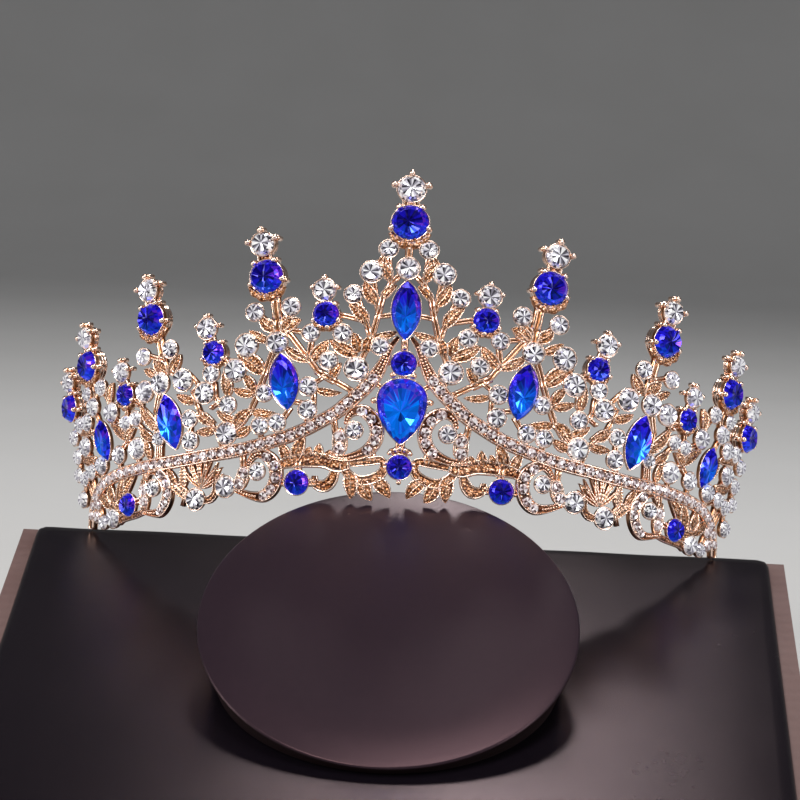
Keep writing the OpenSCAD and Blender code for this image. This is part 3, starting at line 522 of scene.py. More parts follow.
# %% Drawing of the band, scrolls and borders
band = [
    [1.2, 29.6, 0.9], [2.6, 27.6, 1.3], [3.8, 24.8, 2.1], [5, 22.3, 2.7], [6.4, 20.3, 2.9],
    [8.2, 18.3, 2.9], [10, 16.7, 2.9], [12.6, 14.4, 2.9], [15.6, 12.6, 2.9], [18.8, 10.9, 2.9],
    [22, 9.6, 2.9], [25.4, 8.6, 2.9], [29.8, 7.4, 2.9], [34, 6.6, 2.9], [38.6, 6, 2.9], [43, 5.4, 2.9],
    [47.6, 4.9, 2.9], [52, 4.5, 2.9], [56, 4.2, 2.9], [60, 3.7, 2.9], [64.5, 3.1, 2.9], [68, 2.4, 2.9],
    [71, 1.4, 2.9], [73.6, -0.2, 2.9], [75.4, -2.2, 2.8], [76.6, -4.6, 2.6], [77.4, -8, 2.2]]
scrolls = [
    [[10.6, 12, 0.9], [10.2, 13.6, 1.4], [9, 14.7, 2], [7.4, 14.8, 2.6], [5.6, 13.5, 2.9],
     [4.6, 11.2, 2.9], [4.9, 8.9, 2.9], [6.3, 7, 2.7], [8.6, 5.9, 2], [11, 5.4, 1.4], [13.4, 5.6, 1]],
    [[30.6, 2.6, 0.9], [30.2, 4.6, 1.2], [28.6, 6, 1.8], [26.6, 5.6, 2.6], [24.9, 3.9, 2.9],
     [24.5, 1.4, 2.9], [25.4, -1, 2.9], [27.3, -2.4, 2.6], [29.8, -2.3, 1.8], [33.4, -1.2, 1]],
    [[56.4, 1.2, 0.9], [55.6, 2.6, 1.2], [54, 3.1, 1.8], [52.2, 2.3, 2.6], [50.7, 0.4, 2.8],
     [50.2, -1.8, 2.8], [51, -3.9, 2.8], [52.6, -5.4, 2.4], [54.8, -5.6, 1.6], [57.4, -5.2, 1.2]]]
scroll_stones = [
    [7.6, 14.6, 2], [5.8, 13.2, 2], [4.7, 11, 2], [4.9, 9, 2], [6.3, 7.1, 2], [26.6, 5.3, 2],
    [24.9, 3.7, 2], [24.6, 1.3, 2], [25.6, -1.1, 2], [27.1, -2.4, 1.9], [52.2, 2.3, 2], [50.7, 0.4, 2],
    [50.1, -1.7, 2], [51.2, -3.8, 2], [52.5, -5.2, 1.8]]
strips = [
    [[9.6, 4.3, 1.2], [6, 4.9, 1.6], [3.6, 5.2, 1.6], [2.9, 4, 1.7], [3.5, 2.5, 2], [5.2, 1.5, 2],
     [7.4, 1.1, 1.9], [9.4, 1.9, 1.8], [10.6, 3.2, 1.8], [10.8, 4.6, 1.6]],
    [[9.8, 4.3, 2], [12, 4, 3], [14.5, 4.7, 2.9], [17, 4.9, 3], [20, 4.7, 2.8], [22.6, 4.2, 2.2],
     [24, 3.4, 1.5]],
    [[12.4, 3, 1.6], [13.2, 0.9, 2.3], [14.6, -0.2, 2.5], [16.4, 0.3, 1.9], [16.6, 1.8, 1]],
    [[10.9, 11, 1.6], [11.7, 9.6, 2.8], [11.8, 7.2, 2.8], [12.9, 5.9, 1.3], [13.8, 5, 1]],
    [[30.8, 3, 1.2], [31.5, 2.2, 2.7], [32.5, 0, 2.7], [34, -0.4, 1.6]],
    [[57.4, 1.6, 1], [57.2, -0.7, 2.7], [57.1, -3.1, 2.7], [57.4, -5.2, 1.4]],
    [[38, 0.8, 1.2], [38.1, -1.6, 1.4], [39.4, -3, 1.6], [41.2, -3.2, 1.4]],
    [[57.4, -5.2, 1.2], [60, -5.8, 1.4], [64.5, -6.4, 1.6], [66, -7.2, 1.4]]]
print("band stations:", len(band), "scrolls a side:", len(scrolls), "plain strips:", len(strips))

# %% Channels and borders
def channel(tray, stations):
    """A channel along a smooth path. Where it narrows it also gets lower."""
    path, _ = smooth_path(stations, 0.5)
    half = path[:, 2] / 2
    sweep(tray, path, half, channel_section, height=0.82 + 0.18 * np.minimum(1, half / FULL_RIM_FROM))


band_tray = Tray("recess", "grain")
for stations in [band, *scrolls]:
    channel(band_tray, stations)
band_piece = band_tray.piece("tiara_band_and_scrolls", metal)
border_tray = Tray("recess", "grain")
for stations in strips:
    path, _ = smooth_path(stations, 0.6)
    sweep(border_tray, path, path[:, 2] / 2 * 1.04, strip_section)
border_piece = border_tray.piece("tiara_borders", metal)

# %% [markdown]
# ## Cups, posts and beads
# Every stone sits in a cup: a turned ring with a thin bright rim that the stone drops
# into. The inside under the stone is painted dark, as painted shade. The finials have deep
# cups with banded walls, and their stones are held by thick posts with round heads. They
# are all turned forms, so each is a profile of outward step and height that is carried
# round the stone's outline. A stone's row is x, y and its width; a finial's row is its
# clear stone and then its blue one; a marquise's row is x, y, length, width and the
# degrees that it leans.

# %% Stones and their places
finials = [
    [28, 48.1, 4.6, 27.1, 41.5, 6.5], [55.1, 40.8, 4.6, 54.2, 34.6, 6.4],
    [77.7, 33.5, 4.6, 76.8, 27.3, 6.4], [87.7, 25, 4.6, 87, 19.2, 6]]
small_finials = [
    [15.5, 38.6, 4.2, 15.1, 33.8, 4.7], [40, 31.6, 4.2, 38.5, 26.6, 4.6],
    [63.7, 24.4, 4.2, 62.5, 19.5, 4.6]]
centre_finial = [0, 59, 5, 0, 52.3, 6.6]
marquises = [[23.2, 20.4, 11.2, 5.6, -9], [49.4, 13.1, 11.6, 5.6, -15], [70.9, 10.6, 9.3, 4.6, -20]]
centre_marquise = [0, 34.9, 11.6, 5.2, 0]
pear = [0, 17, 12.7, 9.2]
upper_round, lower_round, crown_clear = [0, 24.4, 4.6], [0, 4, 4.6], [0, 43.2, 4]
low_blues = [[20.2, 0.4, 4.7], [62.3, -3.6, 4.6]]
clears = [
    [3.7, 47, 3.2], [6.7, 42.3, 4], [10, 37.8, 3.2], [4.6, 27.6, 3.2], [11.8, 30, 3.3], [18, 30, 3.2],
    [22, 35.3, 3.4], [29.4, 34.4, 3.4], [14.4, 24.6, 3.3], [9, 23, 4.3], [18.3, 19.4, 3.4],
    [18.3, 14.8, 3.4], [27.2, 18.1, 3.2], [24.5, 12.2, 3.3], [28.1, 11.6, 3.3], [24.7, 28.2, 4],
    [31.1, 27.8, 4.5], [33.6, 22.8, 4.4], [35.2, 15.9, 3.4], [39, 22.4, 3.4], [40.6, 18.5, 4.1],
    [46, 21.4, 4.4], [35.5, 10.2, 4.3], [44.3, 13.4, 3.3], [44.2, 8.9, 3.6], [52, 21.1, 4.3],
    [56.5, 19.7, 4.3], [49.2, 28, 3.4], [56.7, 27, 3.4], [52.7, 9.7, 2.8], [59.4, 14.3, 3],
    [62.7, 13.6, 3], [59, 8, 4.3], [65.2, 7, 3.6], [67.7, 16.2, 4.1], [71.9, 5.3, 3.8],
    [71.5, 21.9, 3.4], [77.7, 21.2, 3], [75, 18.1, 3.8], [78, 15, 3.8], [81.9, 14.8, 3.4],
    [85, 12.4, 3.4], [79, 9.8, 4], [83.2, 8, 3.2], [76.4, 4.2, 3.2], [79.7, 3, 3.2], [83, 4, 3],
    [80.8, -1.5, 3.4], [9, 10.9, 3.2], [28.6, 2.5, 3.2], [35.7, -0.5, 4.1], [42.9, -3, 4.2],
    [54.4, -0.4, 3.2], [67.8, -6.2, 4], [71.6, -6.9, 2.8]]
paired_smalls = [
    [11.7, 9.6, 2.2], [11.8, 7.2, 2.2], [31.5, 2.2, 2.2], [32.5, 0, 2.2], [57.2, -0.7, 2.2],
    [57.1, -3.1, 2.2], [74.5, -5.6, 2.4], [73.8, -3, 2.2]]
print("clear stones a side:", len(clears) + len(small_finials))

# %% Turned forms
def circle(count, shift=0.0):
    """Points round a circle of radius 1: cosine and sine of even steps of a turn."""
    turn = (np.arange(count) + shift) / count * 2 * math.pi
    return np.stack([np.cos(turn), np.sin(turn)], -1)


def levelled(rings, heights):
    """Rings of x and y, each put at a height of its own."""
    return np.concatenate([rings, np.broadcast_to(heights[:, None, None], (*rings.shape[:2], 1))], -1)


def add_rings(tray, rings, ends, recess, both=True):
    """Adds a form made of rings of points, closed by a point at each end. The recess
    argument holds painted shade: one value a ring and then one for each end."""
    rows, columns = rings.shape[:2]
    values = np.zeros((rows * columns + 2, 2))
    values[:, 0] = np.repeat(recess, [columns] * rows + [1, 1])
    tray.add(np.vstack([rings.reshape(-1, 3), ends]), ring_quads(rows, columns), values, both)


print("a circle in quarters:", circle(4).round(2).tolist())

# %% Outlines of stones
def round_outline(width, grow=0.0, count=24):
    """Circle: half the width, plus grow."""
    return (width / 2 + grow) * circle(count, 0.5)


def marquise_outline(length, width, grow=0.0, count=32):
    """Two equal arcs that meet in points. Their radius is (a*a + b*b) / 2b for half length
    a and half width b, so each arc is widest at the middle and reaches both points."""
    a, b = length / 2 + 1.4 * grow, width / 2 + grow
    radius = (a * a + b * b) / (2 * b)
    lean = np.linspace(-1, 1, count // 2 + 1)[:-1] * math.asin(a / radius)
    y, x = radius * np.sin(lean), radius * np.cos(lean) - (radius - b)
    return np.concatenate([np.stack([x, y], -1), np.stack([-x, -y], -1)])


def pear_outline(length, width, grow=0.0, count=40):
    """Above the widest line, half an ellipse 0.34 of the length high. Below it, the half
    width falls as (1 - s squared) to the 0.85, s being the share of the way down."""
    up = np.linspace(0, math.pi, count // 2, endpoint=False)
    high = np.stack([np.cos(up), 0.34 * length * np.sin(up) ** 0.9], -1)
    s = np.sin(np.linspace(0, math.pi / 2, count // 4, endpoint=False))
    low = np.stack([-(1 - s ** 2) ** 0.85, -0.66 * length * s], -1)
    point = np.array([[0.0, -0.66 * length]])
    back = low[:0:-1] * np.array([-1, 1])
    shape = np.concatenate([high, low, point, back])
    shape[:, 0] *= width / 2
    out = np.stack([shape[:, 0], shape[:, 1] + 0.06 * length], -1)
    return shape + grow * out / (np.linalg.norm(out, axis=1, keepdims=True) + 1e-9) * 1.1


print("pear outline points:", len(pear_outline(*pear[2:])))

# %% Cups
cup_profile = [(-0.5, 0.0, 0.25), (0.0, 0.05, 0.3), (0.14, 0.3, 0.9), (0.18, 0.75, 0.7),
               (0.27, 0.95, 0.15), (0.32, 1.06, 0.0), (0.28, 1.15, 0.0), (0.18, 1.16, 0.0),
               (0.09, 1.06, 0.3), (0.0, 0.95, 1.0), (-0.3, 0.9, 1.0)]  # step, height, recess (painted shade, dark inside the cup)
HOOP, GROOVE = 0.22, 0.04  # outward steps of a deep cup's wall


def cup(tray, x, y, outline, turn=0.0, deep=0.0, both=True):
    """Carries the cup's profile round the stone's outline: each row grows the outline by its
    step and puts it at its height. A deep cup has twelve more rows behind the plate. Every
    fourth is a groove painted dark as painted shade and the rest are bright hoops, so its
    wall is banded."""
    rows = list(cup_profile)
    if deep:
        depths = np.linspace(deep, 0.1, 12)
        wall = [(HOOP, -z, 0.0) if k % 4 else (GROOVE, -z, 0.6) for k, z in enumerate(depths)]
        rows = [(-0.6, -deep - 0.05, 0.3)] + wall + rows[2:]
    c, s = math.cos(math.radians(turn)), math.sin(math.radians(turn))
    spin = np.array([[c, s], [-s, c]])
    steps, heights, recess = zip(*rows)
    rings = np.stack([outline(step) @ spin for step in steps]) + [x, y]
    ends = [[x, y, heights[0]], [x, y, heights[-1]]]
    add_rings(tray, levelled(rings, np.array(heights)), ends, [*recess, 0.25, 0.9], both)


def round_cup(tray, x, y, width, deep=0.0, both=True, count=24):
    """The cup of a round stone."""
    cup(tray, x, y, lambda grow: round_outline(width, grow, count), deep=deep, both=both)


print("corners of a cup's profile:", len(cup_profile))

# %% A cup for every stone
CLEAR_DEEP, BLUE_DEEP, SMALL_DEEP = 1.0, 1.9, 1.3  # how far the finials' cups reach back
cup_tray = Tray("recess", "grain")
for stone in clears + low_blues:
    round_cup(cup_tray, *stone)
for stone in paired_smalls:
    round_cup(cup_tray, *stone, count=16)
for row in small_finials:
    round_cup(cup_tray, *row[:3])
    round_cup(cup_tray, *row[3:], deep=SMALL_DEEP)
for row in finials:
    round_cup(cup_tray, *row[:3], deep=CLEAR_DEEP)
    round_cup(cup_tray, *row[3:], deep=BLUE_DEEP)
for x, y, length, width, turn in marquises:
    cup(cup_tray, x, y, lambda grow: marquise_outline(length, width, grow), turn)
round_cup(cup_tray, *centre_finial[:3], deep=CLEAR_DEEP, both=False)
round_cup(cup_tray, *centre_finial[3:], deep=BLUE_DEEP, both=False)
for stone in (upper_round, lower_round, crown_clear):
    round_cup(cup_tray, *stone, both=False)
cup(cup_tray, *centre_marquise[:2], lambda grow: marquise_outline(*centre_marquise[2:4], grow),
    both=False)
cup(cup_tray, *pear[:2], lambda grow: pear_outline(*pear[2:], grow), both=False)
cups_piece = cup_tray.piece("tiara_cups", metal)

# %% Posts and beads
POST_SIDES, BEAD_SIDES, BEAD_RINGS = 10, 8, 5
post_shade = [0.25, 0.05, 0.3, 0.75, 0.55, 0.3, 0.05, 0, 0]  # painted shade: dark in the neck under the ball and on the ball's lower half


def prong(tray, x, y, ox, oy, both=True, radius=0.58, low=-0.6, high=2.2, shade=0.0):
    """A post that leans a little over the stone and ends in a ball. The post is about as thick
    as the ball; the ball's rings are its sines, at the heights of its cosines."""
    tilt = np.radians([140, 112, 88, 64, 40, 16])
    reach = radius * np.concatenate([[0.95, 1.0, 0.85], np.sin(tilt)])
    post_heights = [low, 0.5 * (low + high) - 0.5, high - 1.8 * radius]
    heights = np.concatenate([post_heights, high - radius + radius * np.cos(tilt)])
    lean = np.stack([ox, oy]) * ((heights - low) / (high - low))[:, None] ** 2 * -0.1
    rings = circle(POST_SIDES)[None] * reach[:, None, None] + lean[:, None, :] + [x + ox, y + oy]
    ends = [[*rings[0].mean(axis=0), low], [*rings[-1].mean(axis=0), high]]
    add_rings(tray, levelled(rings, heights), ends, [*np.maximum(post_shade, shade), 0, 0], both)


def bead(tray, x, y, z, radius, both=True):
    """A ball whose rings are circles of radius sine and height cosine, painted darker lower down as
    painted shade.
    """
    tilt = np.linspace(0.15, 0.95, BEAD_RINGS) * math.pi
    rings = circle(BEAD_SIDES)[None] * np.sin(tilt)[:, None, None] * radius + [x, y]
    recess = [*(1 - np.cos(tilt)) * 0.45, 0, 0]
    ends = [[x, y, z + radius], [x, y, z - radius]]
    add_rings(tray, levelled(rings, np.cos(tilt) * radius + z), ends, recess, both)


print("rings of a post:", len(post_shade))

# %% Posts of the finials
WEB_WIDTH, SMALL_WEB, WEB_HEIGHT = 1.5, 1.2, 0.95  # the bar between a finial's two stones
CLEAR_STONE, BLUE_STONE = 4.6, 6.5  # the widths that the posts' places are given for
round_clear = [(0.1, 2.7), (2.5, 0.6), (-2.5, 0.6)]  # places of a small finial's posts
round_blue = [(1.8, 2.2), (-1.8, 2.2), (2.6, -1.3), (-2.6, -1.3), (-0.4, -2.8)]
prong_tray = Tray("recess", "grain")
for x, y, width, bx, by, blue in [*finials, centre_finial]:
    both = bx != 0
    up = np.array([x - bx, y - by]) / math.hypot(x - bx, y - by)
    out = np.array([up[1], -up[0]])
    scale = width / CLEAR_STONE
    web = np.linspace([bx, by], [x, y], 9)
    sweep(prong_tray, web, WEB_WIDTH * scale, strip_section, height=WEB_HEIGHT, both=both)
    heads = [(x, y, up * 3.1 * scale)]
    heads += [(x, y, (share * out * 3.05 + up * 0.8) * scale) for share in (1, -1)]
    for share in (1, -1):
        heads += [(bx, by, (share * out * 2.25 + up * 3.25) * blue / BLUE_STONE),
                  (bx, by, (share * out * 3.55 - up * 1.15) * blue / BLUE_STONE)]
    for px, py, (ox, oy) in heads:
        prong(prong_tray, px, py, ox, oy, both, low=-0.9)
for x, y, width, bx, by, blue in small_finials:
    web = np.linspace([bx, by], [x, y], 9)
    sweep(prong_tray, web, SMALL_WEB, strip_section, height=WEB_HEIGHT)
    for place, offsets in (((x, y), round_clear), ((bx, by), round_blue)):
        for offset in offsets:
            prong(prong_tray, *place, *offset, radius=0.5, low=-0.7, high=1.9)
print("posts and webs in the tray:", len(prong_tray.points))

# %% Posts of the centre and loose beads
for x, y in [(5.5, 16.9), (2.0, 22.0)]:
    prong(prong_tray, 0, y, x, 0, radius=0.62, low=0, high=2.7, shade=0.3)
prong(prong_tray, 0, 27.5, 0.01, 0.0, both=False, radius=0.56, low=0, high=2.2, shade=0.3)
prong(prong_tray, 0, 1.0, 0.01, 0.0, both=False, radius=0.5, low=0, high=1.7, shade=0.3)
BEAD_HEIGHT = 1.15
bead(prong_tray, 0, 7.65, BEAD_HEIGHT, 0.55, both=False)
loose_beads = [(39, 15.5, 0.45), (58.6, 17, 0.45), (0.97, 7.35, 0.52), (1.9, 6.75, 0.5), (2.75, 4.6, 0.4)]
for x, y, radius in loose_beads:
    bead(prong_tray, x, y, BEAD_HEIGHT, radius)
prongs_piece = prong_tray.piece("tiara_prongs", metal)

# %% [markdown]
# ## Small stones in the band
# The small stones stand in one row, a fixed pitch apart. Between two of them the setter
# raises grains of metal and pushes them over the stones' edges. Their places come from
# walking the band's own path, so they follow it round every bend. Above the first stone
# the band is too narrow for stones and carries rows of grains instead.

# %% Walking the band
BAND_START, BAND_PITCH, BAND_STONE = 9.6, 2.2, 1.96
GRAIN_OFF = 0.62  # millimetres from the band's middle to a grain
band_path, band_run = smooth_path(band, 0.1)
band_across = sideways(band_path)


def on_band(run):
    """x, y, width and the sideways direction at a distance along the band."""
    return [np.interp(run, band_run, column) for column in (*band_path.T, *band_across.T)]


small_at = np.arange(BAND_START, band_run[-1] - 2.2, BAND_PITCH)
x, y = on_band(small_at)[:2]
band_stones = np.stack([x, y, np.full(len(small_at), BAND_STONE)], -1)
print("small stones in the band a side:", len(band_stones))

# %% Grains of the band
grain_tray = Tray("recess", "grain")
for run in np.append(small_at - BAND_PITCH / 2, small_at[-1] + BAND_PITCH / 2):
    x, y, _, sx, sy = on_band(run)
    for share in (GRAIN_OFF, -GRAIN_OFF):
        bead(grain_tray, x + share * sx, y + share * sy, 1.12, 0.26)
for run in np.arange(2.4, BAND_START - 1.2, 0.62):
    x, y, width, sx, sy = on_band(run)
    for share in ((0.3, -0.3) if width > 1.9 else (0.0,)):
        bead(grain_tray, x + share * sx, y + share * sy, 1.0, 0.27)
print("grains in the band:", len(grain_tray.points))

# %% Grains of the scrolls
SCROLL_REACH = 6.0  # a scroll's stones lie within this of its middle, in x
CLEAR_OF_STONES = 1.35
for scroll in scrolls:
    path, _ = smooth_path(scroll, 0.1)
    side = sideways(path)
    middle = np.mean([station[0] for station in scroll])
    stones = [s for s in scroll_stones if abs(s[0] - middle) < SCROLL_REACH]
    off = [np.hypot(path[:, 0] - s[0], path[:, 1] - s[1]) for s in stones]
    for k in np.where((np.min(off, axis=0) > CLEAR_OF_STONES) & (path[:, 2] > 1.0))[0][::6]:
        bead(grain_tray, path[k, 0], path[k, 1], 1.02, 0.28)
    for a, b in zip(stones[:-1], stones[1:]):
        between = (a[0] + b[0]) / 2, (a[1] + b[1]) / 2
        k = int(np.argmin(np.hypot(path[:, 0] - between[0], path[:, 1] - between[1])))
        for share in (0.7, -0.7):
            bead(grain_tray, path[k, 0] + share * side[k, 0], path[k, 1] + share * side[k, 1], 1.12, 0.27)
grains_piece = grain_tray.piece("tiara_grain_beads", metal)

# %% [markdown]
# ## Collars
# A grainy crescent with a lobed edge hugs the lower side of a finial's blue stone. Only the
# last finial of each side has none. One more lies over the lowest blue stone of the centre.
# It is a rounded strip bent along an arc round the stone's middle.

# %% Collars
# The recess values paint shade along the collar's edges.
collar_section = [(-0.9, 0, 0.0, 0.3, 0), (-1.0, 0, 0.5, 0.8, 0), (-0.9, 0, 1.0, 0.5, 0.3),
                  (-0.6, 0, 1.3, 0.15, 1), (-0.1, 0, 1.42, 0.1, 1), (0.4, 0, 1.3, 0.2, 1),
                  (0.8, 0, 1.0, 0.35, 1), (1.0, 0, 0.5, 0.8, 0), (0.9, 0, 0.0, 0.3, 0)]
COLLAR_STEPS, LOBES = 41, 5


def collar(tray, x, y, radius, start, end, width, both=True):
    """An arc about the stone's middle, from one angle to another. The half width is the root
    of a sine, so it tapers to both ends, and a cosine cuts its edge into lobes."""
    turn = np.radians(np.linspace(start, end, COLLAR_STEPS))
    path = np.stack([x + radius * np.cos(turn), y + radius * np.sin(turn)], -1)
    share = np.linspace(0.06, 0.94, COLLAR_STEPS)
    lobe = np.cos(share * LOBES * 2 * np.pi)
    half = width / 2 * np.sqrt(np.sin(share * np.pi)) * (1 + 0.14 * lobe)
    sweep(tray, path, half, collar_section, height=1.0 + 0.1 * lobe, both=both)


# Finials, their collars' distance from the stone's edge, and the collars' width
collared = [(finials[:3], 0.75, 2.2), ([centre_finial], 0.8, 2.3), (small_finials, 0.45, 1.4)]
collar_tray = Tray("recess", "grain")
for rows, away, width in collared:
    for *_, bx, by, blue in rows:
        collar(collar_tray, bx, by, blue / 2 + away, -150, -30, width, both=bx != 0)
collar(collar_tray, *lower_round[:2], 3.4, 46, 134, 1.5, both=False)
collars_piece = collar_tray.piece("tiara_collars", metal)

# %% The metal takes the frame's place
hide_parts("frame")

# %% [markdown]
# ## Cut stones
# The stones are pressed glass with a mirror foil behind. What the eye sees is not the
# glass but the foil, broken up by the facets: bright and dark wedges that turn round the
# middle. Real refraction would show it, and would need far more light paths than a
# studio picture spends. So each facet here carries its own tone, a painted reflection of
# what the foil would give it, and is tilted a little, so that the lights flash on a few
# facets at a time.

# %% Facets
GIRDLE = 0.35  # millimetres from a stone's widest line down to its flat back
UNEVEN = 0.012  # share of the width by which a corner may lie too high or too low
# Painted reflection tones of the facets, from dark to bright.
wedge_tones = np.array([1.0, 0.5, 0.04, 0.86, 0.42, 0.1, 1.0])
crown_tones, crown_odds = [1.0, 0.74, 0.45, 0.1], [0.36, 0.22, 0.24, 0.18]
star_tones, star_odds = [1.0, 0.7, 0.35, 0.05], [0.36, 0.2, 0.24, 0.2]


def facets(outline, width, middle, z, crown, rng):
    """Rings that shrink the girdle outline towards the middle. The crown's ring is turned half
    a step, so kites form between it and its neighbours; inside the table, straight wedges
    run to the middle. Returns separate triangles with a tone each, a painted reflection:
    mostly light, with a dark wedge every few steps."""
    count = len(outline)
    half = 0.5 * (outline + np.roll(outline, -1, axis=0))
    rings = []
    for base, scale, height in ((outline, 0.98, -GIRDLE), (outline, 1.0, 0.0), (half, 0.86, 0.55 * crown),
                                (outline, 0.7, crown), (outline, 0.32, crown - 0.03 * width)):
        uneven = rng.uniform(-UNEVEN, UNEVEN, (count, 1)) * width * (height > 0)
        rings.append(np.hstack([middle + (base - middle) * scale, z + height + uneven]))
    points = np.vstack([*rings, [[*middle, z + crown - 0.05 * width], [*middle, z - GIRDLE]]])
    j = np.arange(count)
    n = (j + 1) % count
    foot, girdle, kite, table, inner = (k * count for k in range(5))
    wedge = wedge_tones[(j + rng.integers(7)) % 7] + rng.uniform(-0.2, 0.12, count)
    crown_tone = rng.choice(crown_tones, count, p=crown_odds)
    star_tone = rng.choice(star_tones, count, p=star_odds)
    tip, base = np.full(count, len(points) - 2), np.full(count, len(points) - 1)
    rows = [(foot + j, foot + n, girdle + n, 0.4), (foot + j, girdle + n, girdle + j, 0.4),
            (girdle + j, girdle + n, kite + j, crown_tone),
            (kite + j, girdle + n, kite + n, np.roll(star_tone, 1)),
            (kite + j, kite + n, table + n, star_tone),
            (table + j, kite + j, table + n, np.roll(crown_tone, 3)),
            (table + j, table + n, inner + j, wedge), (inner + j, table + n, inner + n, wedge),
            (inner + j, inner + n, tip, wedge * 0.9 + 0.05), (foot + n, foot + j, base, 0.3)]
    triangles = np.concatenate([np.stack(row[:3], -1) for row in rows])
    tones = np.concatenate([np.broadcast_to(row[3], count) for row in rows])
    return points[triangles], np.clip(tones, 0.02, 1)


sample, _ = facets(round_outline(4, 0, 16), 4, np.zeros(2), 1, 1, np.random.default_rng(1))
print("a round stone of 16 sides has", len(sample), "facets")

# %% [markdown]
# ## Painting the facets
# A painter looks at where a facet lies in its stone and sets two values: the tone, a
# painted reflection, which picks the foil's colour from dark to bright, and lit, painted
# light, which brings light blue over it.
# x and y run from -1 to 1 across the stone.

# %% Painters
def clear_paint(x, y, tones, rng):
    """Clear stones keep the painted reflection tones of their facets, with the middle tones a little
    darker.
    """
    return tones ** 1.2, np.zeros(len(tones))


def end_paint(x, y, tones, rng):
    """The clear stones near the tiara's ends face the side lights, so they are painted a step paler, as
    painted light.
    """
    return 0.26 + 0.74 * tones, np.zeros(len(tones))


def round_paint(x, y, tones, rng):
    """A round blue stone in painted reflections: darker in the middle, royal round it, a violet
    painted highlight where the light leaves it at the right, and a little azure painted light low down."""
    far = np.hypot(x, y)
    outer = np.where(far < 0.62, 0.12 + 0.5 * tones, 0.34 + 0.4 * tones)
    tones = np.where(far < 0.3, tones * 0.35, outer)
    violet = (x > 0.5) & (np.abs(y - 0.15) < 0.38) & (rng.random(len(x)) < 0.6)
    return np.where(violet, 1.0, tones), np.clip((-y - 0.1) * 0.5 * rng.random(len(x)), 0, 0.3)


def long_paint(x, y, tones, rng):
    """A marquise in painted reflections: royal above, azure flashes of painted light below, a violet
    painted highlight along the upper right edge.
    """
    inside = np.clip(1.5 - 1.5 * np.hypot(x * 0.9, y * 0.9), 0, 1)
    lit = np.clip(inside * (0.42 - 1.1 * y) * rng.uniform(0.4, 1.3, len(x)), 0, 1)
    tones = 0.22 + 0.6 * tones
    violet = (x > 0.5) & (y > 0.0) & (rng.random(len(x)) < 0.4)
    return np.where(violet, 1.0, tones), np.where(violet, 0.0, lit)


def pear_paint(x, y, tones, rng):
    """The pear in painted reflections: an azure table of painted light with a small dark spot low
    in it, inside a royal crown whose upper facets turn violet as painted highlights."""
    table = np.hypot(x, (y + 0.12) * 0.95) < 0.66
    spot = np.hypot(x + 0.02, y + 0.3) < 0.13
    azure, royal = rng.choice([0.45, 0.8, 1.0], len(x), p=[0.25, 0.4, 0.35]), rng.uniform(0, 0.25, len(x))
    lit = np.where(table, azure, royal)
    tones = np.where(table, np.minimum(0.2 + 0.75 * tones, 0.84), 0.3 + 0.5 * tones)
    violet = ~table & (y > 0.3) & (rng.random(len(x)) < 0.35)
    tones = np.where(violet, 1.0, tones)
    return np.where(spot, 0.12, tones), np.where(spot, 0.15, lit)


plain = np.linspace(0, 1, 5)
print("tones 0 to 1 in a clear stone:", clear_paint(plain, plain, plain, None)[0].round(2).tolist())

# %% Cutting a stone
SEAT = 1.05  # height of a stone's widest line over the plate's back, in millimetres
OFF_MIDDLE = 0.05  # share of the width by which the cutter may miss the stone's middle


def set_stone(tray, x, y, outline, width, turn=0.0, side=1.0, seed=1, middle=(0.0, 0.0), crown=0.24,
              paint=clear_paint):
    """Cuts a stone at the origin, turns it and puts it in its seat, then lets its painter set
    each facet's tone, a painted reflection, and lit, painted light, from where it lies. A stone
    of the left half lies in the mirrored place, but has a seed of its own, so no two are alike."""
    rng = np.random.default_rng(seed)
    off = rng.uniform(-OFF_MIDDLE, OFF_MIDDLE, 2) * width
    corners, tones = facets(outline, width, np.array(middle) + off, SEAT, crown * width, rng)
    c, s = math.cos(math.radians(turn)), math.sin(math.radians(turn))
    flat = corners[..., :2] @ np.array([[c, s], [-s, c]])
    if side < 0:
        flat[..., 0] *= -1
    centre = flat.mean(axis=1)
    low_edge, high_edge = flat.reshape(-1, 2).min(axis=0), flat.reshape(-1, 2).max(axis=0)
    share = (centre - (low_edge + high_edge) / 2) / ((high_edge - low_edge) / 2)
    tones, lit = paint(share[:, 0], share[:, 1], tones, rng)
    points = np.concatenate([flat + [side * x, y], corners[..., 2:]], -1).reshape(-1, 3)
    corner = np.arange(len(points)).reshape(-1, 3)
    values = np.repeat(np.stack([tones, lit], -1), 3, axis=0)
    tray.add(points, np.hstack([corner, corner[:, 2:]]), values, both=False)


print("a stone's widest line lies", SEAT, "mm over the plate's back")

# %% Glass
def foiled_glass(name, dark, mid, light, shine, glow, painted_glow_strength, mirror, coat):
    """Tone picks the foil's colour from dark over mid and light to shine: painted reflections,
    with shine as the painted highlight. Lit brings the glow, painted light, over it. The stone
    also gives off its own colour at a low level, a painted glow for the extra light that foil
    throws back compared with a dull surface."""
    finish = Finish(name, Metallic=mirror, Roughness=0.09, IOR=1.6, Coat_Weight=coat, Coat_Roughness=0.02,
                    Coat_IOR=1.5, Emission_Strength=painted_glow_strength)
    tone, lit, place = finish.carried("tone"), finish.carried("lit"), finish.place()
    haze = finish.noise(place, 1500.0, 2.0)
    stops = [(0.0, dark), (0.45, mid), (0.8, light), (1.0, shine)]
    hazy = (tone + (haze - 0.5) * 0.35).clipped()
    foil = finish.node("ShaderNodeValToRGB", {"stops": stops}, [hazy])[0]
    colour = finish.mixed((lit * (0.55 + tone * 0.6)).clipped(), foil, (*glow, 1.0))
    finish.set("Base Color", colour)
    finish.set("Emission Color", colour)
    return finish.material


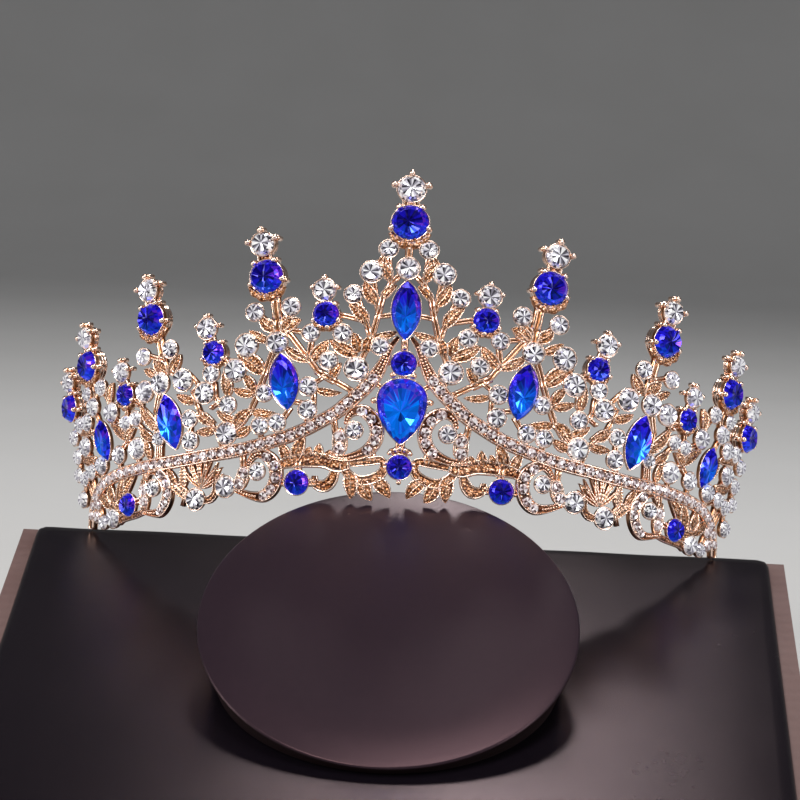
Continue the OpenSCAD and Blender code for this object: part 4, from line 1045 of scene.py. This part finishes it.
clear_glass = foiled_glass("clear_glass", dark=(0.02, 0.018, 0.025), mid=(0.27, 0.255, 0.31),
                           light=(0.80, 0.78, 0.87), shine=(1, 1, 1), glow=(1, 1, 1),
                           painted_glow_strength=0.17, mirror=0.4, coat=0.6)
# The fine stones' pink tint is painted reflection of the metal that shows through them.
fine_glass = foiled_glass("fine_glass", dark=(0.05, 0.022, 0.02), mid=(0.36, 0.25, 0.25),
                          light=(0.84, 0.72, 0.75), shine=(1, 0.96, 0.97), glow=(1, 1, 1),
                          painted_glow_strength=0.12, mirror=0.4, coat=0.6)
blue_glass = foiled_glass("blue_glass", dark=(0.001, 0.0006, 0.03), mid=(0.005, 0.003, 0.24),
                          light=(0.014, 0.009, 0.66), shine=(0.08, 0.015, 0.46), glow=(0.0, 0.2, 1.0),
                          painted_glow_strength=0.6, mirror=0.8, coat=0.1)
print("glass finishes:", [glass.name for glass in (clear_glass, fine_glass, blue_glass)])

# %% Setting round stones
ENDS_FROM = 56.0  # chart x from which the clear stones are painted paler, as painted light from the side lights
OVERLAP = 0.08  # millimetres that a stone reaches under its cup's rim


def cut_piece(tray, name, glass, node=None):
    """The stones in the tray as one piece of flat facets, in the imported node's place if it has one."""
    piece = tray.piece("cut_" + name, glass, smooth=False)
    if node:
        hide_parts(node)


def round_stones(name, rows, glass, node=None):
    """One piece of round stones. A row is x, y, width, side of the tiara and seed."""
    tray = Tray("tone", "lit")
    for x, y, width, side, seed in rows:
        paint = round_paint if glass == blue_glass else end_paint if x > ENDS_FROM else clear_paint
        sides = 24 if width > 4.45 else 20 if width > 2.5 else 9
        set_stone(tray, x, y, round_outline(width, OVERLAP, sides), width, side=side, seed=seed,
                  turn=(seed * 37) % 90, paint=paint)
    cut_piece(tray, name, glass, node)


def seeded(places, side, first):
    """Rows for round_stones: each place with its side and the next seed."""
    return [[*place, side, first + k] for k, place in enumerate(places)]


field_clears = clears + [row[:3] for row in small_finials]
field_blues = low_blues + [row[3:] for row in small_finials]
fine_stones = [*band_stones.tolist(), *scroll_stones, *paired_smalls]
for label, side, shift in (("left", -1.0, 500), ("right", 1.0, 0)):
    rows = seeded(field_clears, side, 10 + shift)
    if side > 0:
        rows.append([*crown_clear, 1.0, 9])
    round_stones(f"clear_stones_{label}", rows, clear_glass, f"clear_stones_{label}")
    round_stones(f"fine_stones_{label}", seeded(fine_stones, side, 200 + shift), fine_glass)
    round_stones(f"small_blue_stones_{label}", seeded(field_blues, side, 300 + shift), blue_glass,
                 f"small_blue_stones_{label}")
    for k, row in enumerate(finials, 1):
        round_stones(f"{label}_finial_clear_{k}", [[*row[:3], side, 400 + k + shift]], clear_glass,
                     f"{label}_finial_clear_stone_{k}")
        round_stones(f"{label}_finial_blue_{k}", [[*row[3:], side, 410 + k + shift]], blue_glass,
                     f"{label}_finial_blue_stone_{k}")
for name, stone, seed, glass in (("centre_finial_clear", centre_finial[:3], 430, clear_glass),
                                 ("centre_finial_blue", centre_finial[3:], 431, blue_glass),
                                 ("upper_round", upper_round, 432, blue_glass),
                                 ("lower_round", lower_round, 433, blue_glass)):
    round_stones(name, [[*stone, 1.0, seed]], glass, name + "_stone")

# %% Setting the marquises and the pear
long_stones = [("centre_marquise", centre_marquise, 1.0, 450)]
for label, side, first in (("left", -1.0, 471), ("right", 1.0, 451)):
    for k, row in enumerate(marquises):
        long_stones.append((f"{label}_marquise_{k + 1}", row, side, first + k))
for name, (x, y, length, width, turn), side, seed in long_stones:
    tray = Tray("tone", "lit")
    set_stone(tray, x, y, marquise_outline(length, width, OVERLAP, 16), width, turn, side, seed,
              middle=(0.0, -0.1 * length), crown=0.27, paint=long_paint)
    cut_piece(tray, name, blue_glass, name.replace("marquise", "marquise_stone"))
tray = Tray("tone", "lit")
set_stone(tray, *pear[:2], pear_outline(*pear[2:], OVERLAP, 24), pear[3], seed=490, middle=(0.0, -2.0),
          crown=0.2, paint=pear_paint)
cut_piece(tray, "pear", blue_glass, "pear_stone")

# %% [markdown]
# ## The display stand
# The tiara stands on a dark padded board on a pale card base, in front of a round neck
# with a slanting face. The board is thin padding under tightly drawn satin: it is flat,
# and only rolls over at its edges. A cloth simulation would puff it up like a cushion, so
# its rolled edge is worked out instead, as rows of outlines that step in as they rise.

# %% The board's outline
BOARD_SLOPE = math.radians(13.0)
BOARD_DEPTH, REAR_WIDTH, FRONT_WIDTH = 118.0, 158.0, 136.0
REAR_EDGE = (0.0, 49.1, 34.6)
CORNER, CORNER_STEPS = 2.6, 12


def on_slope(points):
    """Board coordinates (x, distance from the rear edge, height over the top) to metres:
    tipped by the slope about the rear edge."""
    c, s = math.cos(BOARD_SLOPE), math.sin(BOARD_SLOPE)
    return np.stack([points[..., 0], REAR_EDGE[1] + points[..., 1] * c - points[..., 2] * s,
                     REAR_EDGE[2] + points[..., 1] * s + points[..., 2] * c], -1) / 1000


def board_outline(inset):
    """The trapezium drawn in by inset, its corners rounded: each is a curve that leaves one
    side and joins the next, drawn towards the corner on the way."""
    rear, front = REAR_WIDTH / 2 - inset, FRONT_WIDTH / 2 - inset
    corners = np.array([[rear, -inset], [-rear, -inset], [-front, inset - BOARD_DEPTH],
                        [front, inset - BOARD_DEPTH]])
    reach = max(CORNER - inset * 0.5, 1.0)
    before, after = np.roll(corners, 1, axis=0) - corners, np.roll(corners, -1, axis=0) - corners
    before /= np.linalg.norm(before, axis=1, keepdims=True)
    after /= np.linalg.norm(after, axis=1, keepdims=True)
    t = np.linspace(0, 1, CORNER_STEPS)[None, :, None]
    a, b = (corners + before * reach)[:, None], (corners + after * reach)[:, None]
    curves = ((1 - t) ** 2 * a + 2 * t * (1 - t) * corners[:, None] + t ** 2 * b).reshape(-1, 2)
    dense = []
    for start, stop in zip(curves, np.roll(curves, -1, axis=0)):
        steps = max(int(np.linalg.norm(stop - start) / 4), 1)
        dense.append(start + np.linspace(0, 1, steps, endpoint=False)[:, None] * (stop - start))
    return np.concatenate(dense)


print("points round the board's top:", len(board_outline(3.0)))

# %% The board's rolled edge
PAD = 2.2  # millimetres from the card to the top of the padding
EDGE_POINTS = 320
board_rows = [(3.0, -PAD), (0.4, -PAD), (0.0, -1.9), (0.0, -1.4), (0.16, -0.8), (0.55, -0.35),
              (1.2, -0.1), (3.0, 0.0), (12.0, 0.02), (26.0, 0.05), (42.0, 0.05)]  # inset, height


def resampled(loop):
    """The same outline at evenly spread points, started at its first one."""
    closed = np.vstack([loop, loop[:1]])
    run = np.concatenate([[0], np.cumsum(np.linalg.norm(np.diff(closed, axis=0), axis=1))])
    even = np.linspace(0, 1, EDGE_POINTS, endpoint=False) * run[-1]
    return np.stack([np.interp(even, run, closed[:, k]) for k in (0, 1)], -1)


insets, heights = zip(*board_rows)
board_rings = levelled(np.stack([resampled(board_outline(inset)) for inset in insets]), np.array(heights))
wrinkle = 0.06 * np.sin(board_rings[..., 0] * 0.21 + 1.3 * np.sin(board_rings[..., 1] * 0.13))
board_rings[3:8, :, 2] += wrinkle[3:8] * np.array([0.5, 1, 1, 0.8, 0.3])[:, None]
middles = [[0, -BOARD_DEPTH / 2, heights[0]], [0, -BOARD_DEPTH / 2, heights[-1]]]
board_tray = Tray("recess", "grain")
add_rings(board_tray, board_rings, middles, np.zeros(len(board_rows) + 2), both=False)
print("waves in the board's cover, up to (mm):", round(float(np.abs(wrinkle[3:8]).max()), 3))

# %% Satin
WEAVE = 2300.0  # threads in a metre, one way; the other way they are finer


def satin(name, colour, deep, gloss):
    """Tightly woven satin: two crossing sets of fine waves dent the surface, and slow clouds
    shift its colour between two, as handling does. Where recess is carried, it goes black as
    painted shade."""
    finish = Finish(name, Sheen_Weight=0.01, Sheen_Roughness=0.4, Sheen_Tint=(0.9, 0.6, 0.6, 1.0),
                    Specular_IOR_Level=0.34, Specular_Tint=(1.0, 0.58, 0.62, 1.0))
    place = finish.place()
    warp = finish.node("ShaderNodeTexWave", {"bands_direction": "X"},
                       {"Vector": place, "Scale": WEAVE})[1]
    weft = finish.node("ShaderNodeTexWave", {"bands_direction": "Y"},
                       {"Vector": place, "Scale": WEAVE * 1.3})[1]
    cloud, fine = finish.noise(place, 28.0, 4.0), finish.noise(place, 700.0, 2.0)
    shade = finish.carried("recess")
    handled = finish.mixed((cloud * 0.9 + (fine - 0.5) * 0.5).clipped(), (*deep, 1.0), (*colour, 1.0))
    finish.set("Base Color", finish.mixed(shade, handled, (0.001, 0.0008, 0.001, 1.0)))
    finish.set("Roughness", (gloss + (cloud - 0.5) * 0.1 + (fine - 0.5) * 0.03 + shade * 0.4).clipped())
    finish.dent(warp * 0.3 + weft * 0.3 + fine * 0.5, 0.00001)
    return finish.material


board_satin = satin("dark_satin", (0.0046, 0.0034, 0.0056), (0.002, 0.0016, 0.003), gloss=0.25)
neck_satin = satin("neck_satin", (0.021, 0.0125, 0.018), (0.012, 0.008, 0.012), gloss=0.3)
board_piece = board_tray.piece("padded_board", board_satin, placed=on_slope)
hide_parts("display_board")

# %% [markdown]
# ## The neck
# The neck is a short round column, cut at a slant and covered with a little paler satin.
# Its face is flat, falls off slightly near the edge, and the edge is rolled over. Its side
# runs down and narrows until it is a little way into the board, so the column is longer at
# the back. The side carries recess, because hardly any light gets in under the rim.

# %% The neck's face
NECK_RADIUS, NECK_SIDES = 35.0, 96
NECK_TOP = np.array([0.0, -9.7, 34.4])
FACE_UP, COLUMN = np.array([0.0, 0.866, 0.5]), np.array([0.0, 0.5, -0.866])
EDGE, FALL, TAPER = 0.4, 0.9, 0.235  # the rolled edge's radius, the face's fall, the side's narrowing
FALL_FROM = 0.72  # share of the radius
face_rings = [0.25, 0.5, 0.7, 0.78, 0.85, 0.91, 0.96]
roll = np.linspace(0, math.pi / 2, 9)
shares = np.concatenate([face_rings, 1 - EDGE / NECK_RADIUS * (1 - np.sin(roll)), [1.0, 1.0]])
drops = FALL * np.clip((shares - FALL_FROM) / 0.28, 0, 1) ** 2
drops[len(face_rings):-2] += EDGE * (1 - np.cos(roll))
across, upwards = np.split(circle(NECK_SIDES), 2, axis=1)
rim = NECK_TOP + NECK_RADIUS * (across * np.array([1.0, 0, 0]) + upwards * FACE_UP)
face = (rim - NECK_TOP)[None] * shares[:, None, None] + NECK_TOP
print("rings of the neck:", len(shares))

# %% The neck's side
INTO_BOARD = 1.5  # millimetres
SHADED_RINGS = 4  # two of the rolled edge and two of the side
slope_normal = np.array([0.0, -math.sin(BOARD_SLOPE), math.cos(BOARD_SLOPE)])
over_board = (rim - np.array(REAR_EDGE)) @ slope_normal
down = COLUMN + -TAPER * (rim - NECK_TOP) / NECK_RADIUS
reach = (over_board + INTO_BOARD) / -(down @ slope_normal)
sink = np.minimum(drops[:, None], reach)
sink[-2], sink[-1] = 0.5 * (FALL + EDGE + reach), reach
way = np.broadcast_to(COLUMN, face.shape).copy()
way[-2:] = down
neck_rings = face + sink[..., None] * way
shade = [0.0] * (len(shares) - SHADED_RINGS) + [1.0] * SHADED_RINGS + [0.0, 1.0]
neck_tray = Tray("recess", "grain")
add_rings(neck_tray, neck_rings, [NECK_TOP, neck_rings[-1].mean(axis=0)], shade, both=False)
neck_piece = neck_tray.piece("slanted_neck", neck_satin, placed=lambda points: points / 1000)
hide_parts("display_neck")

# %% [markdown]
# ## The card base
# The pale base is cut card. Its cut edge shows fine layers, and its colour is not quite
# even. Its colour is set to the dusky brown-mauve that it shows in the shade of the board,
# which is painted shade. The imported solid already has the right shape, so it only gets this finish.

# %% Card
card = Finish("pale_card", Specular_IOR_Level=0.35)
place = card.place()
fibre, cloud = card.noise(place, 900.0, 5.0), card.noise(place, 40.0, 3.0)
layers = card.node("ShaderNodeTexWave", {"bands_direction": "Z"},
                   {"Vector": place, "Scale": 420.0, "Distortion": 1.0})[1]
uneven = (cloud * 0.7 + (fibre - 0.5) * 0.6 + layers * 0.15).clipped()
# Painted shade: the card's pale colour is darkened to the dusky brown-mauve of its shaded edge.
card.set("Base Color", card.mixed(uneven, (0.105, 0.06, 0.055, 1.0), (0.15, 0.09, 0.082, 1.0)))
card.set("Roughness", (0.55 + (fibre - 0.5) * 0.3).clipped())
card.dent(fibre + layers * 0.6, 0.00006)
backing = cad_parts["display_backing"]
backing.data.materials.clear()
backing.data.materials.append(card.material)
print("card base finished:", backing.name)

# %% [markdown]
# ## Floor, light and camera
# The floor is a pale sheet that curves up all round like a wide bowl, so that no horizon
# line shows from any side. Polished metal shows its surroundings more than itself: large
# soft lights give it long pale reflections, and the grey room between them gives the darks
# that make it look like metal.

# %% Floor
FLOOR_SIDES, FLAT_RINGS = 48, 9
FLAT_TO, BOWL_OUT, BOWL_UP = 1.1, 0.9, 1.1  # metres
bow = np.linspace(0, math.pi / 2, 14)[1:]
away = np.concatenate([np.linspace(0.1, FLAT_TO, FLAT_RINGS), FLAT_TO + BOWL_OUT * np.sin(bow)])
rise = np.concatenate([np.zeros(FLAT_RINGS), BOWL_UP * (1 - np.cos(bow))])
floor_rings = levelled(away[:, None, None] * circle(FLOOR_SIDES), rise)
floor_points = np.vstack([floor_rings.reshape(-1, 3), [[0, 0, 0]]])
i, j = (g.ravel() for g in np.meshgrid(np.arange(len(away) - 1), np.arange(FLOOR_SIDES), indexing="ij"))
near, far, k = i * FLOOR_SIDES, (i + 1) * FLOOR_SIDES, (j + 1) % FLOOR_SIDES
floor_faces = np.stack([near + j, far + j, far + k, near + k], -1).tolist()
floor_faces += [[len(floor_points) - 1, a, (a + 1) % FLOOR_SIDES] for a in range(FLOOR_SIDES)]
floor_mesh = bpy.data.meshes.new("pale_floor")
floor_mesh.from_pydata(floor_points.tolist(), [], floor_faces)
floor_mesh.polygons.foreach_set("use_smooth", np.ones(len(floor_mesh.polygons), bool))
paper = Finish("pale_paper", Roughness=0.75)
speck = paper.noise(paper.place(), 9.0, 3.0)
paper.set("Base Color", paper.mixed(speck, (0.5, 0.495, 0.485, 1.0), (0.56, 0.555, 0.55, 1.0)))
floor_mesh.materials.append(paper.material)
floor = bpy.data.objects.new("pale_floor", floor_mesh)
bpy.context.collection.objects.link(floor)
print("floor faces:", len(floor_mesh.polygons))

# %% Lights
from mathutils import Matrix, Vector

TARGET = (0.0, 0.03, 0.06)
WHITE, WARM, COOL = (1.0, 1.0, 1.0), (1.0, 0.97, 0.93), (0.95, 0.97, 1.0)
lights = [("key_light", (-0.25, -0.62, 0.70), TARGET, (0.30, 0.30), 5.5, WARM),
          ("over_light", (0.12, -0.22, 0.80), TARGET, (0.34, 0.24), 2.8, WHITE),
          ("glow_light", (0.03, 0.42, 0.65), (0.0, -0.06, 0.01), (0.15, 0.12), 1.5, WHITE),
          ("right_strip", (0.70, -0.30, 0.35), TARGET, (0.12, 0.7), 2.6, COOL),
          ("left_strip", (-0.75, -0.15, 0.25), TARGET, (0.12, 0.6), 2.3, WHITE)]


def soft_light(name, place, towards, size, power, colour):
    """A rectangular light at a place, turned towards a point, all in metres and watts."""
    lamp = bpy.data.lights.new(name, "AREA")
    lamp.shape, lamp.energy, lamp.color = "RECTANGLE", power, colour
    lamp.size, lamp.size_y = size
    thing = bpy.data.objects.new(name, lamp)
    bpy.context.collection.objects.link(thing)
    aim = (Vector(towards) - Vector(place)).to_track_quat("-Z", "Y")
    thing.matrix_world = Matrix.Translation(place) @ aim.to_matrix().to_4x4()


for row in lights:
    soft_light(*row)
room = bpy.data.worlds.new("grey_room")
room.use_nodes = True
air = room.node_tree.nodes["Background"]
air.inputs["Color"].default_value = (0.55, 0.57, 0.62, 1.0)
air.inputs["Strength"].default_value = 0.17
bpy.context.scene.world = room
bpy.context.scene.view_settings.view_transform = "Standard"
print("lights:", len(lights))

# %% Camera
SEEN_FROM = (0.0106, -0.3203, 0.1208)
AHEAD, UPWARD = Vector((-0.0321, 0.9884, -0.1486)), Vector((-0.0443, 0.1471, 0.9881))
FOCAL_LENGTH, SENSOR = 78.86, 36.0
right = AHEAD.cross(UPWARD).normalized()
upward = right.cross(AHEAD).normalized()
lens = bpy.data.cameras.new("photo_view")
lens.lens, lens.sensor_width = FOCAL_LENGTH, SENSOR
view = bpy.data.objects.new("photo_view", lens)
bpy.context.collection.objects.link(view)
turned = Matrix((right, upward, -AHEAD.normalized())).transposed().to_4x4()
view.matrix_world = Matrix.Translation(SEEN_FROM) @ turned
bpy.context.scene.camera = view
print("camera (mm):", [round(1000 * v, 1) for v in SEEN_FROM])
